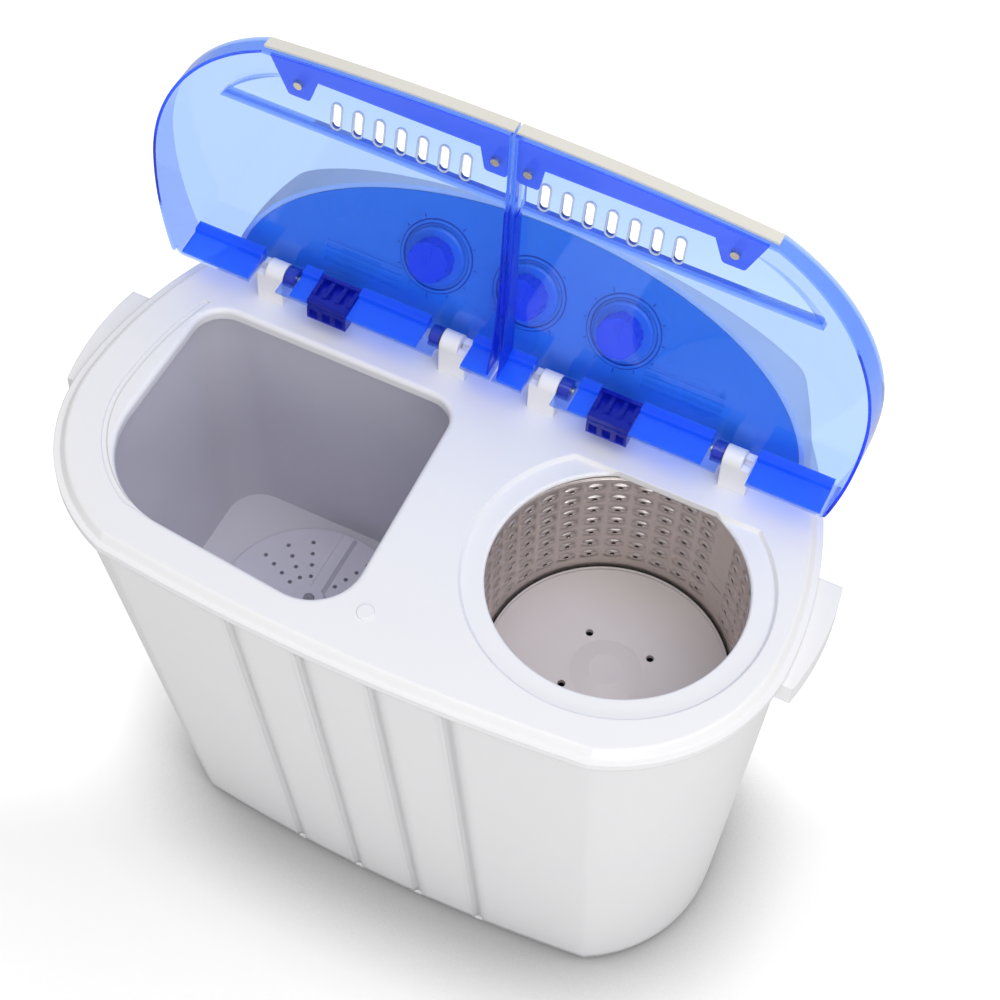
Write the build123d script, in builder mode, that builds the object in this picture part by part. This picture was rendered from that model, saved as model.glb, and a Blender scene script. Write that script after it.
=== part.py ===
from build123d import *
from math import asin, atan2, cos, degrees, radians, sin, sqrt, tan
import os

os.makedirs("parts", exist_ok=True)

# Twin tub washing machine: a wash tub on the left, a spin basket on the right,
# a tapered casing, a deck with two hinged lids and a sloping control panel.
# X runs to the right, Y to the back, Z up from the floor. Sizes in millimetres.
# The lids are modelled standing open.

# Sizes of the deck rim and the casing, in plan
rim_front = -170
rim_kink_x = 190
rim_corner_x = 143
rim_corner_y = -28
rim_corner_radius = 139.5
rim_side_radius = 330
rim_back = 170
rim_overhang = 5.5
foot_front = -83
foot_kink_x = 180
foot_corner_x = 120.6
foot_corner_y = 35
foot_corner_radius = 122.4
foot_side_radius = 260
back_corner_radius = 20

# Heights and walls of the deck and the casing
casing_bottom = 8
deck_top = 499
rim_height = 12
flange_height = 6
flange_plate = 3
deck_plate = 3
deck_wall = 2.5
plateau_foot_inset = 5
plateau_top_inset = 9
plateau_round = 3
casing_wall = 2.5
groove_spacing = 57
groove_count = 4
groove_radius = 4
groove_depth = 3
groove_top_gap = 20

# Hinge line of both lids, and the deck lugs that carry it
hinge_y = 97
hinge_z = 525
lug_spacing = 145
lug_middle_x = 112.5
lug_width = 14.5
lug_radius = 8.8
lug_shoulder_width = 7
lug_shoulder_drop = 8
pin_radius = 2.5
pin_head_radius = 3.6
pin_head_height = 1.5
running_fit = 0.05
side_gap = 0.4

# Lids, given as they lie when closed
lid_rise = 11.7
lid_slope = 5.55
lid_length = 239
lid_kink_x = 188
lid_corner_x = 130
lid_corner_reach = 143
lid_corner_radius = 145.5
lid_side_radius = 300
lid_back_corner_radius = 6
lid_wall = 2.3
lid_front_depth = 13.2
lid_back_depth = 31
lid_middle_depth = 13
lid_gap = 2
knuckle_radius = 8.4
knuckle_width = 9
pin_head_room = 4.4
rear_clear_strip = 8
notch_clearance = 1
scoop_step_reach = 72
scoop_end_reach = 34
scoop_depth = 7
scoop_tip_x = 224
scoop_shoulder_x = 162
scoop_shoulder_reach = 36
scoop_bend_x = 198
scoop_bend_reach = 51
scoop_middle_x = 6
scoop_cut_margin = 0.01
slot_count = 7
slot_pitch = 16.4
slot_width = 6.5
slot_length = 20
slot_reach = 54.5
wash_slot_row_x = -86
spin_slot_row_x = 71
grip_plate_thickness = 2
grip_plate_fit = 0.2
grip_tab_round = 3
grip_plate_reach = 21.5
grip_plate_end_x = 186
grip_tab_reach = 42
grip_tab_width = 16
grip_tab_flare = 7
grip_tab_outer_x = 160
grip_tab_inner_x = 12
strip_height = 9
strip_drop = 1.6
strip_thickness = 1.8
strip_end_x = 187
lid_screw_radius = 1.6
lid_screw_head = 3.2
lid_screw_head_height = 1.6
lid_screw_reach = 30
screw_boss_radius = 4
finger_width = 32
finger_reach = 12
finger_step = 5
finger_top = 8
finger_middle = 19
finger_slot_count = 3
finger_slot_width = 6.5
finger_slot_depth = 3
wash_finger_x = -135
spin_finger_x = 93

# Openings of the deck
spin_x = 148.7
spin_y = -19.2
spin_opening_radius = 93.5
opening_back = 66
dish_radius = 112
dish_depth = 3.5
dish_floor = 3
dish_wall = 4
dish_taper = 30
opening_round = 2
wash_right_back_x = -18.5
wash_right_front_x = -12
wash_left_back_x = -228
wash_left_front_x = -230
wash_front_left_y = -117
wash_front_right_y = -139
wash_corner_rounds = [22, 24, 76, 38]
wash_lip_depth = 10
wash_lip_wall = 2.5
wash_round = 4
drip_inset = 35
drip_width = 4
drip_depth = 1.5
drip_end_x = -110
plug_x = 5
plug_y = -124
plug_radius = 6.5
plug_height = 1.2
plug_peg_radius = 3.5

# Tubs
tub_wall = 2.5
tub_floor_z = 250
tub_floor = 3
tub_top_left = -241
tub_top_right = -8
tub_top_front = -142
tub_back = 84
tub_bottom_left = -219
tub_bottom_right = -20
tub_bottom_front = -98
tub_bottom_back = 80
tub_front_left_radius = 70
tub_corner_radius = 28
drum_radius = 106
drum_wall = 2.5
drum_floor_z = 345
drum_floor = 3

# Pulsator and its drive
pulsator_x = -113
pulsator_y = -4
pulsator_radius = 74.5
bearing_neck_radius = 10
bearing_neck_height = 2
bearing_flange_radius = 28
bearing_flange_thickness = 3
bearing_sleeve_radius = 14
bearing_length = 34
seal_height = 2.5
seal_chamfer = 1
seal_room = 1
hub_cap = 4
hub_screw_radius = 2
hub_screw_head = 4.5
hub_screw_head_height = 2
hub_screw_depth = 6
pulsator_edge_round = 2.5
vane_end_gap = 4
vane_taper = 25
pulsator_row_angle = 20
pulsator_gap = 3
pulsator_thickness = 6
pulsator_hub_radius = 15
pulsator_hub_height = 7
vane_count = 4
vane_width = 14
vane_height = 5
pulsator_hole_radius = 1.8
pulsator_hole_pitch = 11
pulsator_holes_per_row = 4
pulsator_first_hole = 26
drive_shaft_radius = 6
wash_pulley_radius = 60
motor_pulley_radius = 16
pulley_height = 10
pulley_z = 196
belt_groove_depth = 3
belt_width = 5
belt_thickness = 2.2
belt_clearance = 0.3
pulley_distance = 110
motor_direction = 130
shaft_tail = 6
rotor_radius = 5
rotor_depth = 24
pulley_hole_count = 5
pulley_hole_radius = 11
pulley_hole_circle_radius = 33
bracket_post_radius = 5
bracket_plate = 3
bracket_hole_radius = 14
bracket_edge = 2
motor_edge = 4
wash_motor_radius = 42
wash_motor_bottom = 105
wash_motor_top = 184
wash_cap_radius = 21

# Spin basket and its drive
basket_radius = 95
basket_foot_radius = 93.3
basket_wall = 1.2
basket_top = 488
basket_floor_rise = 31
basket_floor = 4
basket_rim = 2
basket_hole_rows = 4
basket_holes_per_row = 15
basket_hole_radius = 2
drain_hole_circle_radius = 35
drain_hole_radius = 3
drain_hole_count = 4
drain_hole_turn = 45
basket_hole_margin = 12
basket_flange = 9
basket_hub_radius = 16
basket_hub_depth = 18
basket_dome_radius = 27
basket_dome_height = 3
basket_dome_taper = 78
spin_seal_radius = 15
spin_seal_lip = 6
spin_seal_lip_height = 2
spin_seal_length = 22
spin_shaft_radius = 6
spin_motor_radius = 50
spin_motor_bottom = 60
spin_motor_top = 150
motor_cap_radius = 28
motor_cap_height = 10
brake_drum_radius = 40
brake_drum_height = 18
brake_drum_z = 176
brake_gap = 0.35
brake_pad_thickness = 6
brake_pad_half_angle = 22
brake_arm_height = 8
brake_pivot_x = -48
brake_pivot_y = 34
brake_arm_z = 181
brake_boss_radius = 7
brake_pin_radius = 3
brake_arm_end = 3
brake_drum_wall = 3
brake_hub_radius = 12
shaft_room = 3
spin_rotor_depth = 34
motor_flange = 4
mount_cup = 6
mount_waist = 3
mount_count = 3
mount_circle_radius = 38
mount_radius = 13

# Control panel and its housing
panel_y = 111.6
panel_z = 504.5
panel_lean = 29
panel_half_width = 232
panel_height = 120
housing_wall = 3.5
fascia_border = 4
fascia_thickness = 2
fascia_recess = 1.5
fascia_fit = 0.2
knob_spacing = 75.7
knob_height_up = 60.8
knob_radius = 16.5
knob_skirt_radius = 23
knob_skirt = 4
skirt_chamfer = 1.5
knob_tall = 17
knob_taper = 3
knob_gap = 0.8
flute_count = 9
flute_radius = 2.2
pointer_length = 12
pointer_width = 2.4
pointer_height = 0.8
stem_radius = 3
stem_length = 14
stem_hole_radius = 4.5
ring_radius = 28
ring_width = 2
ring_height = 1.2
field_x = 130
field_y = 34
field_width = 62
field_height = 22
field_depth = 0.8
field_rib_count = 4
timer_width = 40
timer_length = 40
timer_low_edge = 30
timer_depth = 17

# Base, feet and the back
tray_plate = 3
tray_inset = 1
tray_rim = 12
tray_rim_wall = 2.5
tray_fit = 0.4
foot_radius = 15
foot_front_x = 165
foot_front_y = -40
foot_rear_x = 178
foot_rear_y = 135
foot_height = 5
foot_chamfer = 1
foot_peg_radius = 5
handle_reach = 295
handle_front = -38
handle_back = 56
handle_top = 487
handle_plate = 5
handle_drop = 19
handle_lip = 4
handle_root = 240
handle_bow = 5
cover_width = 300
cover_height = 230
cover_bottom = 72
cover_plate = 2
cover_overlap = 14
vent_columns = 3
vent_rows = 5
vent_pitch_x = 70
vent_pitch_z = 16
vent_length = 52
vent_width = 5
cover_screw_radius = 1.6
cover_screw_head = 3.5
cover_screw_head_height = 1.8
gland_x = -110
gland_z = 46
gland_radius = 7
gland_flange = 11
gland_flange_thickness = 3
cord_radius = 3.4

# Drain
valve_x = 0
valve_y = 138
valve_radius = 20
valve_bottom = 122
valve_top = 172
port_reach = 30
port_radius = 10
port_z = 147
pipe_radius = 8
pipe_wall = 1.6
pull_rod_radius = 3
pull_rod_top = 512
pull_rod_bottom = 146
rod_hole_gap = 2
outlet_radius = 10
outlet_z = 45
tub_outlet_x = -44
tub_outlet_y = 56
drum_outlet_x = 88
drum_outlet_y = 42
outlet_stub = 12
outlet_bend = 13
crossbar_reach = 8
wash_pipe_drop = 60
wash_pipe_entry = 38
wash_pipe_bends = [28, 20]
spin_pipe_drop = 75
spin_pipe_lift = 25
spin_pipe_entry = 28
spin_pipe_bends = [55, 20, 20]
capacitor_x = -60
capacitor_y = 122
capacitor_width = 52
capacitor_depth = 30
capacitor_height = 44
capacitor_round = 3
capacitor_chamfer = 1


def upright_plane(x, y, z):
    """Plane facing the front, for half sections that are turned about an upright axis."""
    return Plane(origin=(x, y, z), x_dir=(1, 0, 0), z_dir=(0, -1, 0))


# Places that follow from the sizes above
deck_under = deck_top - deck_plate
rim_bottom = deck_top - rim_height
flange_top = rim_bottom + flange_height
casing_top = flange_top - flange_plate
dish_floor_z = deck_top - dish_depth
wash_corners = [
    (wash_right_back_x, opening_back),
    (wash_left_back_x, opening_back),
    (wash_left_front_x, wash_front_left_y),
    (wash_right_front_x, wash_front_right_y),
]
drum_top = dish_floor_z - dish_floor
drum_under = drum_floor_z - drum_floor
basket_floor_z = drum_floor_z + basket_floor_rise
shoulder_top = hinge_z + lug_radius - lug_shoulder_drop
casing_back = rim_back - rim_overhang
tray_bottom = casing_bottom - tray_plate
panel_plane = Plane(
    origin=(0, panel_y, panel_z),
    x_dir=(1, 0, 0),
    z_dir=(0, -cos(radians(panel_lean)), sin(radians(panel_lean))),
)
lid_plane = Plane(origin=(0, hinge_y + lid_rise, hinge_z), x_dir=(1, 0, 0), z_dir=(0, 1, 0))
lid_side_plane = Plane(origin=lid_plane.origin, x_dir=lid_plane.y_dir, z_dir=lid_plane.x_dir)
knob_places = [-knob_spacing, 0, knob_spacing]
lug_places = {
    -1: [-lug_middle_x - lug_spacing / 2, -lug_middle_x + lug_spacing / 2],
    1: [lug_middle_x - lug_spacing / 2, lug_middle_x + lug_spacing / 2],
}
spin_plane = Plane(origin=(spin_x, spin_y, 0))
spin_side_plane = upright_plane(spin_x, spin_y, 0)
wash_plane = Plane(origin=(pulsator_x, pulsator_y, 0))
wash_motor_x = pulsator_x + pulley_distance * cos(radians(motor_direction))
wash_motor_y = pulsator_y + pulley_distance * sin(radians(motor_direction))
wash_motor_plane = Plane(origin=(wash_motor_x, wash_motor_y, 0))


def save(part, name):
    """Label one finished piece and write it to its own file."""
    part.label = name
    export_step(part, f"parts/{name}.step")


def plan_outline(
    front, kink_x, corner_x, corner_y, corner_radius, side_radius, back, back_round, inset
):
    """Bowed front, round front corners, swept sides and a straight back, drawn inset."""
    corner = corner_radius - inset
    side = side_radius - inset
    side_x = corner_x + corner_radius - side_radius
    kink_drop = sqrt(corner**2 - (kink_x - corner_x) ** 2)
    kink_y = corner_y - kink_drop
    kink_angle = degrees(atan2(-kink_drop, kink_x - corner_x))
    back_y = back - inset
    side_angle = degrees(asin((back_y - corner_y) / side))
    back_x = side_x + side * cos(radians(side_angle))
    with BuildLine() as outline:
        ThreePointArc((-kink_x, kink_y), (0, front + inset), (kink_x, kink_y))
        CenterArc((corner_x, corner_y), corner, kink_angle, -kink_angle)
        CenterArc((side_x, corner_y), side, 0, side_angle)
        Line((back_x, back_y), (-back_x, back_y))
        CenterArc((-side_x, corner_y), side, 180 - side_angle, side_angle)
        CenterArc((-corner_x, corner_y), corner, 180, -kink_angle)
    make_face(outline.edges())
    if back_round > inset:
        fillet(vertices().group_by(Axis.Y)[-1], radius=back_round - inset)


def rim_outline(inset, back_inset=None):
    """Plan of the deck rim; the back may keep an inset of its own."""
    back = rim_back if back_inset is None else rim_back + inset - back_inset
    plan_outline(
        rim_front, rim_kink_x, rim_corner_x, rim_corner_y,
        rim_corner_radius, rim_side_radius, back, back_corner_radius, inset,
    )


def foot_outline(inset):
    """Plan of the casing at its foot."""
    plan_outline(
        foot_front, foot_kink_x, foot_corner_x, foot_corner_y,
        foot_corner_radius, foot_side_radius, casing_back, back_corner_radius, inset,
    )


def lid_outline(inset):
    """Plan of both closed lids together, with the hinge edge at Y 0."""
    plan_outline(
        -lid_length, lid_kink_x, lid_corner_x, lid_corner_reach - lid_length,
        lid_corner_radius, lid_side_radius, 0, lid_back_corner_radius, inset,
    )


def front_line(x, front, kink_x, corner_x, corner_y, corner_radius):
    """Y of the bowed front edge at a place along X."""
    kink_y = corner_y - sqrt(corner_radius**2 - (kink_x - corner_x) ** 2)
    return front + (kink_y - front) * (x / kink_x) ** 2


def front_at(x, z):
    """Y of the casing's sloping front at a place along X and a height."""
    top = front_line(x, rim_front, rim_kink_x, rim_corner_x, rim_corner_y, rim_corner_radius)
    top = top + rim_overhang
    foot = front_line(x, foot_front, foot_kink_x, foot_corner_x, foot_corner_y, foot_corner_radius)
    share = (z - casing_bottom) / (casing_top - casing_bottom)
    return foot + (top - foot) * share


def groove_rods(radius, top):
    """Round rods laid along the casing's front, one in each groove."""
    groove_places = [groove_spacing * (i - (groove_count - 1) / 2) for i in range(groove_count)]
    sink = groove_depth - groove_radius
    for x in groove_places:
        with BuildSketch(Plane.XY.offset(casing_bottom)) as low_end:
            with Locations((x, front_at(x, casing_bottom) + sink)):
                Circle(radius)
        with BuildSketch(Plane.XY.offset(top)) as high_end:
            with Locations((x, front_at(x, top) + sink)):
                Circle(radius)
        loft(sections=[low_end.sketch.face(), high_end.sketch.face()], mode=Mode.SUBTRACT)


def tapered_shell(inset, mode=Mode.ADD):
    """The casing's tapered block between its foot and its top, drawn inset."""
    with BuildSketch(Plane.XY.offset(casing_bottom)) as low_end:
        foot_outline(inset)
    with BuildSketch(Plane.XY.offset(casing_top)) as high_end:
        rim_outline(rim_overhang + inset)
    loft(sections=[low_end.sketch.face(), high_end.sketch.face()], mode=mode)


# Casing: tapered shell with four pressed grooves in its front and a service opening in its back
groove_top = casing_top - groove_top_gap
with BuildPart() as casing_core:
    tapered_shell(casing_wall)
    groove_rods(groove_radius + casing_wall, groove_top + casing_wall)

with BuildPart() as casing:
    tapered_shell(0)
    groove_rods(groove_radius, groove_top)
    add(casing_core.part, mode=Mode.SUBTRACT)
    with BuildSketch(Plane.XZ.offset(-casing_back + 2 * casing_wall)):
        with Locations((0, cover_bottom + cover_height / 2)):
            Rectangle(cover_width - 2 * cover_overlap, cover_height - 2 * cover_overlap)
        with Locations((gland_x, gland_z)):
            Circle(gland_radius)
        with Locations((valve_x, outlet_z)):
            Circle(outlet_radius)
        with Locations((0, cover_bottom + cover_height / 2)):
            with GridLocations(cover_width - cover_overlap, cover_height - cover_overlap, 2, 2):
                Circle(cover_screw_radius)
    extrude(amount=-4 * casing_wall, mode=Mode.SUBTRACT)
save(casing.part, "casing")

# Base tray: plate under the casing's edge with a raised rim inside it
with BuildPart() as base_tray:
    with BuildSketch(Plane.XY.offset(tray_bottom)):
        foot_outline(tray_inset)
    extrude(amount=tray_plate)
    with BuildSketch(Plane.XY.offset(casing_bottom)):
        foot_outline(casing_wall + tray_fit)
        offset(amount=-tray_rim_wall, mode=Mode.SUBTRACT)
    extrude(amount=tray_rim)
    groove_rods(groove_radius + casing_wall + tray_fit, casing_bottom + tray_rim)
    with Locations((foot_front_x, foot_front_y), (-foot_front_x, foot_front_y)):
        Hole(foot_peg_radius)
    with Locations((foot_rear_x, foot_rear_y), (-foot_rear_x, foot_rear_y)):
        Hole(foot_peg_radius)
save(base_tray.part, "base_tray")

# Feet: four rubber buttons, each with a peg in the tray
foot_places = {
    "foot_front_left": (-foot_front_x, foot_front_y),
    "foot_front_right": (foot_front_x, foot_front_y),
    "foot_rear_left": (-foot_rear_x, foot_rear_y),
    "foot_rear_right": (foot_rear_x, foot_rear_y),
}
for foot_name, foot_place in foot_places.items():
    with BuildPart() as foot:
        with BuildSketch():
            with Locations(foot_place):
                Circle(foot_radius)
        extrude(amount=foot_height)
        chamfer(foot.edges().group_by(Axis.Z)[0], length=foot_chamfer)
        with BuildSketch(Plane.XY.offset(foot_height)):
            with Locations(foot_place):
                Circle(foot_peg_radius)
        extrude(amount=tray_plate)
    save(foot.part, foot_name)


def wash_opening(grow=0.0):
    """Deck opening over the wash tub: straight back, leaning right side, bowed front left."""
    with BuildLine() as outline:
        Polyline(*wash_corners, close=True)
    make_face(outline.edges())
    for corner, corner_round in zip(wash_corners, wash_corner_rounds):
        fillet(vertices().sort_by_distance(corner)[0], radius=corner_round)
    if grow:
        offset(amount=grow)


def spin_circle(radius, back=opening_back):
    """Circle about the spin axis with its back cut straight."""
    with Locations((spin_x, spin_y)):
        Circle(radius)
        with Locations((0, back - spin_y - radius)):
            Rectangle(2 * radius, 2 * radius, mode=Mode.INTERSECT)


def handle_plan(side, inset):
    """Plan of a side handle, from inside the casing out to its reach, drawn inset."""
    reach = handle_reach - inset
    front = handle_front + inset
    back = handle_back - inset
    with BuildLine() as outline:
        front_edge = Line((side * handle_root, front), (side * (reach - handle_bow), front))
        outer = ThreePointArc(
            front_edge @ 1, (side * reach, (front + back) / 2), (side * (reach - handle_bow), back)
        )
        Line(outer @ 1, (side * handle_root, back))
        Line((side * handle_root, back), front_edge @ 0)
    make_face(outline.edges())


# Deck: rim flange, raised plateau with a rounded edge but for its back, two openings, spin dish,
# drip groove and hinge lugs
with BuildPart() as deck:
    with BuildSketch(Plane.XY.offset(rim_bottom)):
        rim_outline(0)
    extrude(amount=flange_height)
    with BuildSketch(Plane.XY.offset(flange_top)):
        rim_outline(plateau_foot_inset, back_inset=0)
    with BuildSketch(Plane.XY.offset(deck_top)):
        rim_outline(plateau_top_inset, back_inset=0)
    loft()
    plateau_edges = deck.edges(Select.LAST).group_by(Axis.Z)[-1]
    fillet(plateau_edges.sort_by(Axis.Y)[:-1], radius=plateau_round)
    with BuildSketch(Plane.XY.offset(rim_bottom)):
        rim_outline(deck_wall)
    extrude(amount=flange_height - flange_plate, mode=Mode.SUBTRACT)
    with BuildSketch(Plane.XY.offset(rim_bottom)):
        rim_outline(plateau_top_inset + deck_wall)
    extrude(amount=rim_height - deck_plate, mode=Mode.SUBTRACT)
    with BuildSketch(Plane.XY.offset(deck_top - dish_depth - dish_floor)):
        with Locations((spin_x, spin_y)):
            Circle(dish_radius + dish_wall)
    extrude(amount=dish_depth)
    with BuildSketch(Plane.XY.offset(deck_top - wash_lip_depth)):
        wash_opening(wash_lip_wall)
    extrude(amount=wash_lip_depth - deck_plate)
    with BuildSketch(Plane.XY.offset(deck_top)):
        spin_circle(dish_radius)
    extrude(amount=-dish_depth, taper=dish_taper, mode=Mode.SUBTRACT)
    with BuildSketch(Plane.XY.offset(deck_top)):
        wash_opening()
    extrude(amount=-rim_height, mode=Mode.SUBTRACT)
    fillet(deck.edges(Select.LAST).group_by(Axis.Z)[-1], radius=wash_round)
    with BuildSketch(Plane.XY.offset(deck_top)):
        spin_circle(spin_opening_radius)
    extrude(amount=-rim_height, mode=Mode.SUBTRACT)
    dish_edges = deck.edges(Select.LAST).filter_by_position(Axis.Z, dish_floor_z, dish_floor_z)
    fillet(dish_edges.filter_by(GeomType.CIRCLE), radius=opening_round)
    with BuildSketch(Plane.XY.offset(deck_top)):
        rim_outline(drip_inset)
        offset(amount=-drip_width, mode=Mode.SUBTRACT)
        with Locations((drip_end_x, opening_back)):
            Rectangle(rim_kink_x, 2 * rim_kink_x, align=(Align.MAX, Align.MAX), mode=Mode.INTERSECT)
    extrude(amount=-drip_depth, mode=Mode.SUBTRACT)
    with Locations((plug_x, plug_y, deck_top)):
        Hole(plug_peg_radius)
    with Locations((valve_x, valve_y, deck_top)):
        Hole(pull_rod_radius + rod_hole_gap)
    for lug_x in lug_places[-1] + lug_places[1]:
        outer_side = -1 if lug_x in (lug_places[-1][0], lug_places[1][0]) else 1
        with BuildSketch(Plane.YZ.offset(lug_x - lug_width / 2)):
            with Locations((hinge_y, (deck_under + hinge_z) / 2)):
                Rectangle(2 * lug_radius, hinge_z - deck_under)
            with Locations((hinge_y, hinge_z)):
                Circle(lug_radius)
        extrude(amount=lug_width)
        with BuildSketch(Plane.YZ.offset(lug_x + outer_side * lug_width / 2)):
            with Locations((hinge_y, (deck_under + shoulder_top) / 2)):
                Rectangle(2 * lug_radius, shoulder_top - deck_under)
        extrude(amount=outer_side * lug_shoulder_width)
        with BuildSketch(Plane.YZ.offset(lug_x - lug_width)):
            with Locations((hinge_y, hinge_z)):
                Circle(pin_radius)
        extrude(amount=2 * lug_width, mode=Mode.SUBTRACT)
save(deck.part, "deck")

# Deck plug: low round cap over the fixing hole between the openings
with BuildPart() as deck_plug:
    with BuildSketch(Plane.XY.offset(deck_under)):
        with Locations((plug_x, plug_y)):
            Circle(plug_peg_radius)
    extrude(amount=deck_plate)
    with BuildSketch(Plane.XY.offset(deck_top)):
        with Locations((plug_x, plug_y)):
            Circle(plug_radius)
    extrude(amount=plug_height)
    chamfer(deck_plug.edges().group_by(Axis.Z)[-1], length=plug_height / 2)
save(deck_plug.part, "deck_plug")

# Hinge pins: four pins held by the lugs, each reaching through one lid knuckle
with BuildPart() as hinge_pins:
    for lug_x in lug_places[-1] + lug_places[1]:
        inner_side = 1 if lug_x in (lug_places[-1][0], lug_places[1][0]) else -1
        pin_start = lug_x - inner_side * lug_width / 2
        pin_length = lug_width + side_gap + knuckle_width + side_gap
        with BuildSketch(Plane.YZ.offset(pin_start)):
            with Locations((hinge_y, hinge_z)):
                Circle(pin_radius)
        extrude(amount=inner_side * pin_length)
        with BuildSketch(Plane.YZ.offset(pin_start + inner_side * pin_length)):
            with Locations((hinge_y, hinge_z)):
                Circle(pin_head_radius)
        extrude(amount=inner_side * pin_head_height)
save(hinge_pins.part, "hinge_pins")

# Side handles: a shelf under the rim with a lip that turns down, open beneath for the fingers
for side_name, side in (("left", -1), ("right", 1)):
    with BuildPart() as side_handle:
        with BuildSketch(Plane.XY.offset(handle_top)):
            handle_plan(side, 0)
        extrude(amount=-handle_drop)
        with BuildSketch(Plane.XY.offset(handle_top - handle_plate)):
            handle_plan(side, handle_lip)
        extrude(amount=-handle_drop, mode=Mode.SUBTRACT)
        tapered_shell(0, mode=Mode.SUBTRACT)
    save(side_handle.part, f"side_handle_{side_name}")


def tub_section(left, right, front, back):
    """Plan of the wash tub at one height, with a large round at its front left."""
    with BuildLine() as outline:
        Polyline((left, front), (right, front), (right, back), (left, back), close=True)
    make_face(outline.edges())
    fillet(vertices().sort_by_distance((left, front))[0], radius=tub_front_left_radius)
    fillet(vertices().group_by(Axis.X)[-1], radius=tub_corner_radius)
    fillet(vertices().sort_by_distance((left, back))[0], radius=tub_corner_radius)


def tub_block(grow, floor_z, top_z):
    """Tapered block of the wash tub, grown by a wall and set on a floor height."""
    with BuildSketch(Plane.XY.offset(floor_z)) as low_end:
        tub_section(
            tub_bottom_left - grow, tub_bottom_right + grow,
            tub_bottom_front - grow, tub_bottom_back + grow,
        )
    with BuildSketch(Plane.XY.offset(top_z)) as high_end:
        tub_section(
            tub_top_left - grow, tub_top_right + grow, tub_top_front - grow, tub_back + grow
        )
    loft(sections=[low_end.sketch.face(), high_end.sketch.face()])


# Wash tub: tapered tub under the left opening, with a drain stub in its floor
with BuildPart() as tub_room:
    tub_block(0, tub_floor_z, deck_under)

with BuildPart() as wash_tub:
    tub_block(tub_wall, tub_floor_z - tub_floor, deck_under)
    add(tub_room.part, mode=Mode.SUBTRACT)
    with BuildSketch(Plane.XY.offset(tub_floor_z - tub_floor)):
        with Locations((tub_outlet_x, tub_outlet_y)):
            Circle(pipe_radius)
    extrude(amount=-outlet_stub)
    with Locations((pulsator_x, pulsator_y, tub_floor_z)):
        Hole(bearing_neck_radius)
    with Locations((tub_outlet_x, tub_outlet_y, tub_floor_z)):
        Hole(pipe_radius - pipe_wall)
save(wash_tub.part, "wash_tub")

# Spin drum: round tub that catches the water thrown out of the basket
with BuildPart() as spin_drum:
    with BuildSketch(spin_side_plane):
        with BuildLine():
            Polyline(
                (0, drum_floor_z - drum_floor),
                (drum_radius + drum_wall, drum_floor_z - drum_floor),
                (drum_radius + drum_wall, drum_top),
                (drum_radius, drum_top),
                (drum_radius, drum_floor_z),
                (0, drum_floor_z),
                close=True,
            )
        make_face()
    revolve(axis=Axis((spin_x, spin_y, 0), (0, 0, 1)))
    with BuildSketch(Plane.XY.offset(drum_under)):
        with Locations((drum_outlet_x, drum_outlet_y)):
            Circle(pipe_radius)
    extrude(amount=-outlet_stub)
    with Locations((drum_outlet_x, drum_outlet_y, drum_floor_z)):
        Hole(pipe_radius - pipe_wall)
    with Locations((spin_x, spin_y, drum_floor_z)):
        Hole(spin_seal_radius)
save(spin_drum.part, "spin_drum")


def lid_half(side, inset):
    """Plan of one lid, drawn inset on all its edges."""
    lid_outline(inset)
    with Locations((side * (lid_gap / 2 + inset), 0)):
        edge = Align.MIN if side > 0 else Align.MAX
        Rectangle(2 * lid_length, 4 * lid_length, align=(edge, Align.CENTER), mode=Mode.INTERSECT)


def lid_wedge(side, inset, below):
    """Block of one lid between its sloping top and the deck's plane, drawn inset."""
    deep = lid_front_depth + lid_length * tan(radians(lid_slope))
    with BuildSketch(lid_plane.offset(-inset)) as plan:
        lid_half(side, inset)
    extrude(plan.sketch, amount=-2 * deep)
    with BuildSketch(lid_side_plane) as profile:
        with BuildLine() as outline:
            Polyline(
                (0, 0),
                (-lid_length, 0),
                (-lid_length, -lid_front_depth - below),
                (0, -deep - below),
                close=True,
            )
        make_face(outline.edges())
    extrude(profile.sketch, amount=lid_length + lid_kink_x, both=True, mode=Mode.INTERSECT)


def scoop_wedge(side, grow):
    """Ramp of the scoop in one lid's top, grown by a wall on its inner side."""
    start = lid_length - scoop_step_reach - grow
    end = lid_length - scoop_end_reach + grow
    bend = lid_length - scoop_bend_reach + grow
    shoulder = lid_length - scoop_shoulder_reach + grow
    with BuildSketch(lid_plane) as plan:
        with BuildLine() as outline:
            back_edge = Line((side * scoop_middle_x, -start), (side * (scoop_tip_x + grow), -start))
            nose = ThreePointArc(
                back_edge @ 1,
                (side * (scoop_bend_x + grow), -bend),
                (side * scoop_shoulder_x, -shoulder),
            )
            front_edge = Line(nose @ 1, (side * scoop_middle_x, -end))
            Line(front_edge @ 1, back_edge @ 0)
        make_face(outline.edges())
    extrude(plan.sketch, amount=-scoop_depth - grow)
    with BuildSketch(lid_side_plane) as profile:
        with BuildLine() as outline:
            Polyline((-start, 0), (-start, -scoop_depth - grow), (-end, -grow), (-end, 0), close=True)
        make_face(outline.edges())
    extrude(profile.sketch, amount=scoop_tip_x + scoop_depth, both=True, mode=Mode.INTERSECT)


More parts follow.
